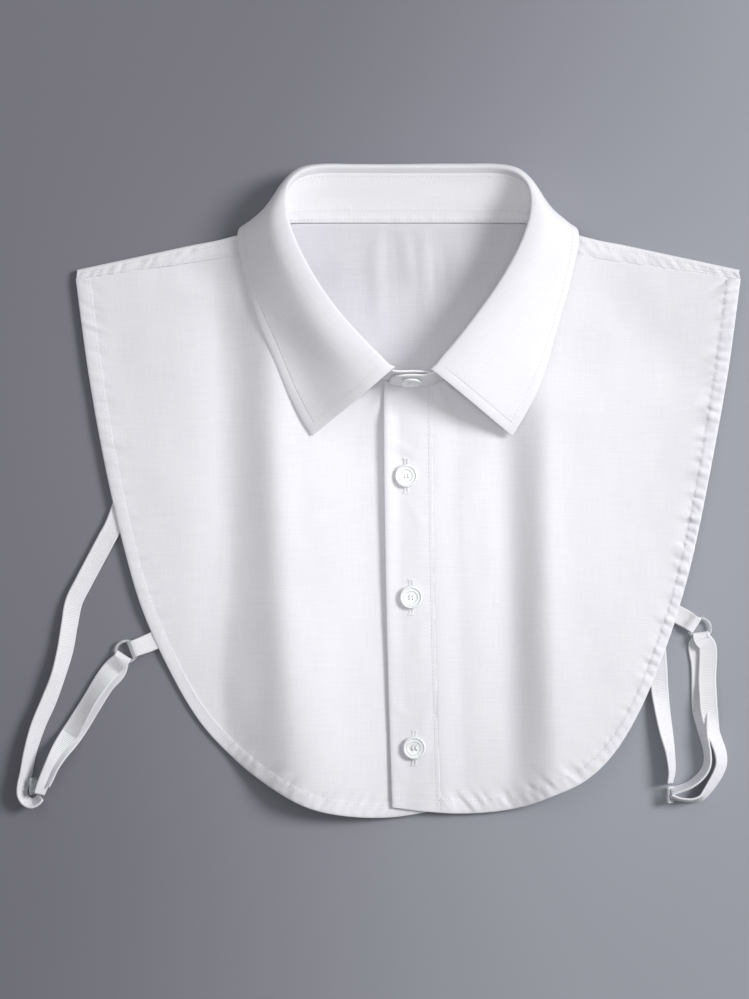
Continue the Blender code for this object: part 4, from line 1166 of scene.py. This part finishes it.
def grown(name, mesh, board, values):
    # the mesh that a tree makes from this one, as plain geometry
    source = linked(name, mesh)
    growth = source.modifiers.new(board.tree.name, "NODES")
    growth.node_group = board.tree
    for label, value in values.items():
        growth[board.ids[label]] = value
    made = evaluated(source)
    made.name = name
    return made


def hardSurface(mesh, finish, degrees):
    # one closed skin from faces that only touch, smooth up to its sharp edges
    clean = bmesh.new()
    clean.from_mesh(mesh)
    bmesh.ops.remove_doubles(clean, verts=clean.verts, dist=0.000005)
    bmesh.ops.recalc_face_normals(clean, faces=clean.faces)
    clean.to_mesh(mesh)
    clean.free()
    mesh.materials.clear()
    mesh.materials.append(finish)
    mesh.shade_smooth()
    mesh.set_sharp_from_angle(angle=math.radians(degrees))


def guideMesh(name, lines):
    places, edges = [], []
    for line in lines:
        edges += [(len(places) + k, len(places) + k + 1) for k in range(len(line) - 1)]
        places += [tuple(point) for point in np.asarray(line) * mm]
    mesh = bpy.data.meshes.new(name)
    mesh.from_pydata(places, edges, [])
    return mesh


stitches = {"pitch": 2.1, "long": 1.5, "thread": 0.36, "seed": 5}
stitchTree = stitchBoard()
seamLines = rightSeams + leftSeams + placketSeams + backSeams + standSeams + leafSeams
stitchMesh = grown("seamStitches", guideMesh("seamGuides", seamLines), stitchTree, {
    "Pitch": stitches["pitch"] * mm, "Length": stitches["long"] * mm, "Thread": stitches["thread"] * mm,
    "Seed": stitches["seed"], "Finish": shadedTopstitch})
showPiece("seamStitches", stitchMesh, "poplin")
print("seams stitched:", len(stitchMesh.polygons), "faces")


# ---- buttonholes ----
holes = {
    "long": 17.6, "lane": 0.75, "laneRise": 0.12, "laneThread": 0.42, "laneStitch": 1.15,
    "barHalf": 1.25, "barPast": 0.2, "barStep": 0.42, "barRise": 0.26, "barThread": 0.34,
    "barPitch": 0.45, "barStitch": 0.9,
}


def onPlacket(x, y, rise):
    top = leftFrontHeight(x, y) + placket["relief"] + placket["wall"] / 2
    return np.column_stack([x, y, top + rise])


def buttonholes():
    lines, bars = [], []
    half, end = holes["long"] / 2, holes["long"] / 2 + holes["barPast"]
    for x, y in buttons["places"]:
        for way in (-1, 1):
            across = np.full(40, x + way * holes["lane"])
            lines.append(onPlacket(across, np.linspace(y + half, y - half, 40), holes["laneRise"]))
        for way in (-1, 1):
            for step in (0.0, holes["barStep"]):
                across = np.linspace(x - holes["barHalf"], x + holes["barHalf"], 6)
                bars.append(onPlacket(across, np.full(6, y + way * end - way * step), holes["barRise"]))
    sewn = grown("buttonholeLanes", guideMesh("laneGuides", lines), stitchTree, {
        "Pitch": holes["laneThread"] * mm, "Length": holes["laneStitch"] * mm,
        "Thread": holes["laneThread"] * mm, "Across": 1.0, "Seed": 8, "Finish": sewingThread})
    ends = grown("buttonholeBars", guideMesh("barGuides", bars), stitchTree, {
        "Pitch": holes["barPitch"] * mm, "Length": holes["barStitch"] * mm,
        "Thread": holes["barThread"] * mm, "Seed": 9, "Finish": sewingThread})
    joined = bmesh.new()
    joined.from_mesh(sewn)
    joined.from_mesh(ends)
    mesh = bpy.data.meshes.new("buttonholes")
    joined.to_mesh(mesh)
    joined.free()
    mesh.materials.append(sewingThread)
    mesh.shade_smooth()
    return mesh


showPiece("buttonholes", buttonholes(), "poplin")
print("buttonholes ready")


# ---- buttons ----
def tube(points, radius, sides=8, closed=False):
    # places and faces of a round thread or wire along points, in mm
    points = np.asarray(points, float)
    if closed:
        tangents = unit(np.roll(points, -1, 0) - np.roll(points, 1, 0))
    else:
        tangents = unit(np.gradient(points, axis=0))
    upright = np.where(np.abs(tangents[:, 2:]) < 0.8, (0.0, 0.0, 1.0), (1.0, 0.0, 0.0))
    side = unit(np.cross(tangents, upright))
    up = np.cross(side, tangents)
    angles = np.linspace(0, math.tau, sides, endpoint=False)
    ring = side[:, None] * np.cos(angles)[None, :, None] + up[:, None] * np.sin(angles)[None, :, None]
    places = (points[:, None] + ring * radius).reshape(-1, 3)
    cells = np.arange(len(points) * sides).reshape(len(points), sides)
    after = np.roll(cells, -1, 0) if closed else cells[1:]
    base = cells if closed else cells[:-1]
    faces = np.stack([base, np.roll(base, -1, 1), np.roll(after, -1, 1), after], -1)
    faces = faces.reshape(-1, 4).tolist()
    if not closed:
        faces += [cells[0][::-1].tolist(), cells[-1].tolist()]
    return places, faces


def discMesh(name):
    # turned disc with a raised rim, then drilled with the four thread holes
    profile = bpy.data.meshes.new("buttonProfile")
    places = [(radius * mm, 0, height * mm) for radius, height in buttons["profile"]]
    profile.from_pydata(places, [(k, k + 1) for k in range(len(places) - 1)], [])
    blank = linked("buttonBlank", profile)
    turn = blank.modifiers.new("turn", "SCREW")
    turn.steps = turn.render_steps = buttons["sides"]
    turn.use_merge_vertices = True
    turn.merge_threshold = 0.00001
    drills = bmesh.new()
    for quarter in (0.25, 0.75, 1.25, 1.75):
        angle = quarter * math.pi
        spot = Vector((math.cos(angle), math.sin(angle), 0)) * buttons["holeSpread"] * mm
        radius = buttons["holeRadius"] * mm
        bmesh.ops.create_cone(drills, cap_ends=True, segments=18, radius1=radius, radius2=radius,
                              depth=8 * mm, matrix=Matrix.Translation(spot))
    drillMesh = bpy.data.meshes.new("drills")
    drills.to_mesh(drillMesh)
    drills.free()
    drill = linked("drills", drillMesh)
    cut = blank.modifiers.new("holes", "BOOLEAN")
    cut.operation, cut.object = "DIFFERENCE", drill
    mesh = evaluated(blank)
    bpy.data.objects.remove(drill)
    mesh.name = name
    hardSurface(mesh, resin, 38)
    return mesh


def buttonThread():
    # two bars of doubled thread that go down through the holes
    places, faces = [], []
    spread = buttons["holeSpread"] * math.sqrt(0.5)
    for lane in (-1, 1):
        for aside, lift in ((-0.3, 0.0), (0.0, 0.16), (0.3, 0.02)):
            x, top = lane * spread + aside, buttons["threadRise"] + lift
            half = [(spread, 0.2), (spread, 1.15), (spread * 0.85, top - 0.12)]
            line = [*half, (0, top), *((-y, z) for y, z in half[::-1])]
            part, sides = tube(smooth([(x, y, z) for y, z in line], 22), buttons["threadRadius"])
            first = sum(len(points) for points in places)
            faces += [tuple(corner + first for corner in face) for face in sides]
            places.append(part)
    return np.vstack(places), faces


def placed(name, mesh, matrix, slotName, *nodes):
    copy = mesh.copy()
    copy.transform(matrix)
    return showPiece(name, copy, slotName, *nodes)


def allButtons():
    disc = discMesh("shirtButton")
    thread = tidyMesh("buttonThread", *buttonThread(), sewingThread)
    spots = []
    for number, (x, y) in enumerate(buttons["places"], 1):
        low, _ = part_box(f"placket_button_{number}")
        turn = Matrix.Rotation(math.radians(buttons["turns"][number - 1]), 4, "Z")
        spots.append((f"placketButton{number}", f"placket_button_{number}",
                      Matrix.Translation((x * mm, y * mm, low[2])) @ turn))
    number = sectionAtX(buttons["collarX"], 1)
    foot, roll = (Vector(line[0]) for line in standLines([number], 1))
    up = (roll - foot).normalized()
    normal = Vector((1, 0, 0)).cross(up).normalized()
    spot = foot + up * buttons["collarUp"] + normal * buttons["collarRise"]
    spots.append(("collarButton", "collar_button",
                  Matrix.Translation(spot * mm) @ normal.to_track_quat("Z", "Y").to_matrix().to_4x4()
                  @ Matrix.Diagonal((*buttons["collarSquash"], 1.0))))
    for name, node, matrix in spots:
        placed(name, disc, matrix, "button_resin", node)
        placed(name + "Thread", thread, matrix, "poplin")


allButtons()
print("buttons ready")

# ---- elastic straps ----
straps = {
    "width": 8.0, "wall": 0.9, "between": 1.8, "ribPitch": 0.8, "ribHeight": 0.13, "edgeCord": 0.16,
    "ringRadius": 5.4, "ringWire": 0.75, "ringLevel": 2.2, "bightHeight": 1.6, "bightReach": 3.0,
    "bightWidth": 7.4, "sliderThick": 1.2, "sliderSize": (8.6, 7.0), "sliderTurn": 90.0,
    "sliderBevel": 0.22, "sliderCorner": 1.2, "slotSize": (6.0, 1.6), "slotCorner": 0.5, "slotOff": 1.45,
    "profile": (-1, -0.92, -0.78, -0.5, 0, 0.5, 0.78, 0.92, 1),
}
# Rows are x, y, height of the lower edge, width and tilt in degrees.
# A negative tilt lifts the edge on the right of the way the strap runs.
Strap = namedtuple("Strap", "long upper lower tab ring slider sliderTilt")
strapPlans = {
    "Right": Strap(
        long=((-140, 9, 1.8, 8, 0), (-149, -16, 1.8, 8, 0), (-154, -25.8, 1.4, 8, -4),
              (-160.5, -38, 0.6, 8, -10), (-165.5, -47.5, 0.5, 8, -14), (-170.3, -57.4, 0.5, 8, -17),
              (-172.5, -69, 0.5, 8, -26),
              (-174.7, -81.9, 0.5, 8, -30), (-178.1, -94.6, 0.5, 8, -42), (-182.9, -107.4, 0.5, 8, -36),
              (-188.3, -120.1, 0.5, 8, -41), (-192.2, -132.9, 0.5, 8, -51), (-194.4, -144, 0.5, 8, -54),
              (-196, -150.5, 0.5, 8, -58), (-196.4, -155, 0.5, 7.6, -62), (-194.6, -158.4, 0.5, 7.4, -62),
              (-191.4, -159.7, 0.5, 7.4, -62), (-188.5, -158.3, 0.5, 7.4, -62),
              (-187.3, -156.7, 0.5, 7.2, -60)),
        upper=((-150.6, -91, 1.9, 8, 0), (-155.8, -97.6, 1.9, 8, 22), (-162.4, -108, 1.9, 8, 34),
               (-169.2, -119.6, 1.9, 8, 16), (-173.6, -126.6, 1.9, 8, -8), (-177.6, -132.9, 2.1, 8, -30),
               (-181, -139.2, 2.6, 8, -48), (-183.7, -145.6, 3.0, 8, -50), (-185.9, -150.6, 3.3, 7.6, -54),
               (-187.3, -154.4, 3.4, 7.2, -56)),
        lower=((-148.6, -93, 0.5, 8, 0), (-154.4, -99.5, 0.5, 8, 0), (-160.2, -108.6, 0.5, 8, 0),
               (-166.8, -119.6, 0.5, 8, 0), (-171.8, -127.2, 0.5, 8, -12), (-176.9, -134.2, 0.5, 8, -32),
               (-180.4, -140.6, 0.5, 8, -48), (-183, -146.4, 0.5, 8, -50), (-184.6, -150, 0.5, 7.6, -52)),
        tab=((-123, -73.5), (-130.5, -77.5)), ring=(-143.5, -82.5), slider=(-190.7, -150.9),
        sliderTilt=68.0,
    ),
    "Left": Strap(
        long=((126.5, -78, 1.8, 8, 0), (127.5, -91, 1.6, 8, 0), (128, -100.2, 0.9, 8, -6),
              (129.5, -112.5, 0.5, 8, -27), (131.2, -122.7, 0.5, 8, -38), (133.2, -132.9, 0.5, 8, -56),
              (134.2, -143, 0.5, 8, -65), (133.3, -149.2, 0.5, 7.4, -70)),
        upper=((152.6, -81, 2.3, 8, 0), (152.3, -96, 2.2, 8, 0), (152.5, -104, 3.6, 8, 0),
               (153, -112.5, 4.2, 8, -6), (155, -122.7, 1.4, 8, -36), (157.1, -128.4, 0.5, 8, -46),
               (159, -134, 0.5, 8, -46), (159.4, -139.4, 0.5, 8, -48), (157.8, -144.4, 0.5, 8, -50),
               (155, -149.2, 0.5, 8, -54), (152, -153.6, 0.5, 8, -60), (149, -156.9, 0.5, 8, -68),
               (144, -158.2, 0.5, 7.6, -76), (138.2, -157.6, 0.5, 7, -78), (133.6, -156.4, 0.9, 6.4, -70)),
        lower=((147.4, -80, 0.5, 8, 0), (148.6, -88, 0.5, 8, 0), (149, -95, 0.5, 8, 0),
               (149, -102, 0.5, 8, -4), (149, -108, 0.5, 8, -16), (149, -113, 0.5, 8, -30),
               (149.4, -118, 0.5, 8, -50), (150.2, -124, 0.5, 8, -66), (151.4, -129.4, 0.5, 8, -72),
               (152.3, -134.4, 0.5, 8, -74), (152.2, -139.6, 0.5, 8, -74), (150.4, -143.8, 0.5, 8, -74),
               (147, -147.6, 0.5, 8, -74), (143, -150.4, 0.5, 7.6, -74), (138.4, -152.3, 0.5, 7, -72),
               (133.9, -153.6, 0.8, 6.4, -66)),
        tab=((131, -60.5), (140.6, -65.5)), ring=(148.7, -70.8), slider=(133.8, -155.2),
        sliderTilt=56.0,
    ),
}
ribTree = ribBoard()


def ribbonPiece(name, route, node):
    # route rows are place, width and tilt; the lower edge keeps its level when the ribbon tilts
    route = np.asarray(route, float)
    rough = smooth(route, 24 * len(route))
    count = int(runAlong(rough[:, :3])[-1] / straps["ribPitch"] * 4)
    line = evenly(rough, count)
    middle, width, tilt = line[:, :3].copy(), line[:, 3], np.radians(line[:, 4])
    tangents = unit(np.gradient(middle, axis=0))
    sides, side = [], np.array([-tangents[0][1], tangents[0][0], 0.0])
    for tangent in tangents:
        level = np.array([-tangent[1], tangent[0], 0.0])
        if np.linalg.norm(level) > 0.35:
            side = unit(level) * (1 if level @ side >= 0 else -1)
        sides.append(unit(side))
    sides = np.array(sides)
    up = unit(np.cross(tangents, sides))
    up = up * np.where(up[:, 2:] < 0, -1.0, 1.0)
    leaning = sides * np.cos(tilt)[:, None] + up * np.sin(tilt)[:, None]
    middle[:, 2] += np.abs(np.sin(tilt)) * width / 2
    middle[:, 2] = np.maximum(middle[:, 2], straps["wall"] / 2 + np.abs(np.sin(tilt)) * width / 2)
    shares = np.array(straps["profile"])
    points = middle[None] + leaning[None] * (shares[:, None] * width[None] / 2)[..., None]
    places, faces, spread = shellParts(points, straps["wall"])
    run = runAlong(middle)
    along = (run[None] + 0 * shares[:, None]).ravel()[spread]
    sideways = (shares[:, None] + 0 * run[None]).ravel()[spread]
    flat = np.column_stack([sideways * straps["width"] / 2, along])
    mesh = tidyMesh(name, places, faces, elastic, flat, {"along": along, "across": sideways})
    made = grown(name, mesh, ribTree, {
        "Rib Pitch": straps["ribPitch"], "Rib Height": straps["ribHeight"] * mm,
        "Edge Cord": straps["edgeCord"] * mm, "Finish": elastic})
    made.shade_smooth()
    return showPiece(name, made, "elastic", node)


def hairpin(wire, heading):
    # the bight of the elastic around a ring's wire
    points = []
    for turn in (90, 45, 0, -45, -90):
        angle = math.radians(turn)
        place = wire + heading * straps["bightReach"] * math.cos(angle)
        points.append((*place, straps["ringLevel"] + straps["bightHeight"] * math.sin(angle),
                       straps["bightWidth"], 0.0))
    return points


def strapRoutes(strap):
    # the loop runs from the slider over the ring's near wire and back beneath it
    ring = np.array(strap.ring, float)
    heading = unit(np.mean([strap.upper[0][:2], strap.lower[0][:2]], axis=0) - ring)
    upper = [(*row[:4], -row[4]) for row in strap.upper[::-1]]
    loopRoute = upper + hairpin(ring + heading * straps["ringRadius"], -heading) + list(strap.lower)

    start, edge = (np.array(point, float) for point in strap.tab)
    width = straps["width"]
    heading = unit(ring - edge)
    tabRoute = [(*start, straps["between"], width, 0.0), (*edge, straps["between"] + 0.2, width, 0.0)]
    tabRoute += hairpin(ring - heading * straps["ringRadius"], heading)
    tabRoute += [(*(edge + heading * 1.5), 0.5, width, 0.0)]
    return strap.long, loopRoute, tabRoute


def clearRing(name, strap, node):
    around = np.linspace(0, math.tau, 72, endpoint=False)
    (x, y), radius = strap.ring, straps["ringRadius"]
    circle = np.column_stack([x + radius * np.cos(around), y + radius * np.sin(around),
                              np.full_like(around, straps["ringLevel"])])
    places, faces = tube(circle, straps["ringWire"], 16, closed=True)
    return showPiece(name, tidyMesh(name, places, faces, clear), "clear_plastic", node)


def roundedRectangle(width, height, corner, centreY=0.0):
    points = []
    for quarter, (signX, signY) in enumerate(((1, 1), (-1, 1), (-1, -1), (1, -1))):
        for step in range(7):
            angle = math.pi / 2 * (quarter + step / 6)
            points.append((signX * (width / 2 - corner) + corner * math.cos(angle),
                           signY * (height / 2 - corner) + corner * math.sin(angle) + centreY))
    return points


def clearSlider(name, strap, node):
    width, height = straps["sliderSize"]
    bevel, lean = straps["sliderBevel"], math.radians(strap.sliderTilt)
    level = height / 2 * math.sin(lean) + straps["sliderThick"] / 2 * math.cos(lean)
    curve = bpy.data.curves.new(name, "CURVE")
    curve.dimensions = "2D"
    curve.fill_mode = "BOTH"
    curve.extrude = (straps["sliderThick"] / 2 - bevel) * mm
    curve.bevel_depth = bevel * mm
    curve.bevel_resolution = 3
    curve.offset = -bevel * mm
    outlines = [roundedRectangle(width, height, straps["sliderCorner"])]
    outlines += [roundedRectangle(*straps["slotSize"], straps["slotCorner"], way * straps["slotOff"])
                 for way in (-1, 1)]
    for outline in outlines:
        spline = curve.splines.new("POLY")
        spline.points.add(len(outline) - 1)
        for point, (x, y) in zip(spline.points, outline):
            point.co = (x * mm, y * mm, 0, 1)
        spline.use_cyclic_u = True
    mesh = evaluated(linked(name, curve))
    hardSurface(mesh, clear, 40)
    mesh.transform(Matrix.Translation(Vector((*strap.slider, level)) * mm)
                   @ Matrix.Rotation(math.radians(straps["sliderTurn"]), 4, "Z")
                   @ Matrix.Rotation(lean, 4, "X"))
    return showPiece(name, mesh, "clear_plastic", node)


for sideName, strapPlan in strapPlans.items():
    label = sideName.lower()
    longRoute, loopRoute, tabRoute = strapRoutes(strapPlan)
    for part, route in (("Long", longRoute), ("Loop", loopRoute), ("Tab", tabRoute)):
        ribbonPiece(f"strap{part}{sideName}", route, f"strap_{part.lower()}_{label}")
    clearRing(f"ring{sideName}", strapPlan, f"ring_{label}")
    clearSlider(f"slider{sideName}", strapPlan, f"slider_{label}")
print("straps ready")


# ---- table ----
tableReach, tableLevel = 2.5, -0.0002
tableMesh = bpy.data.meshes.new("table")
tableMesh.from_pydata([(x * tableReach, y * tableReach, tableLevel)
                       for x, y in ((-1, -1), (1, -1), (1, 1), (-1, 1))], [], [(0, 1, 2, 3)])
tableMesh.materials.append(floorFinish())
tableTop = linked("table", tableMesh)
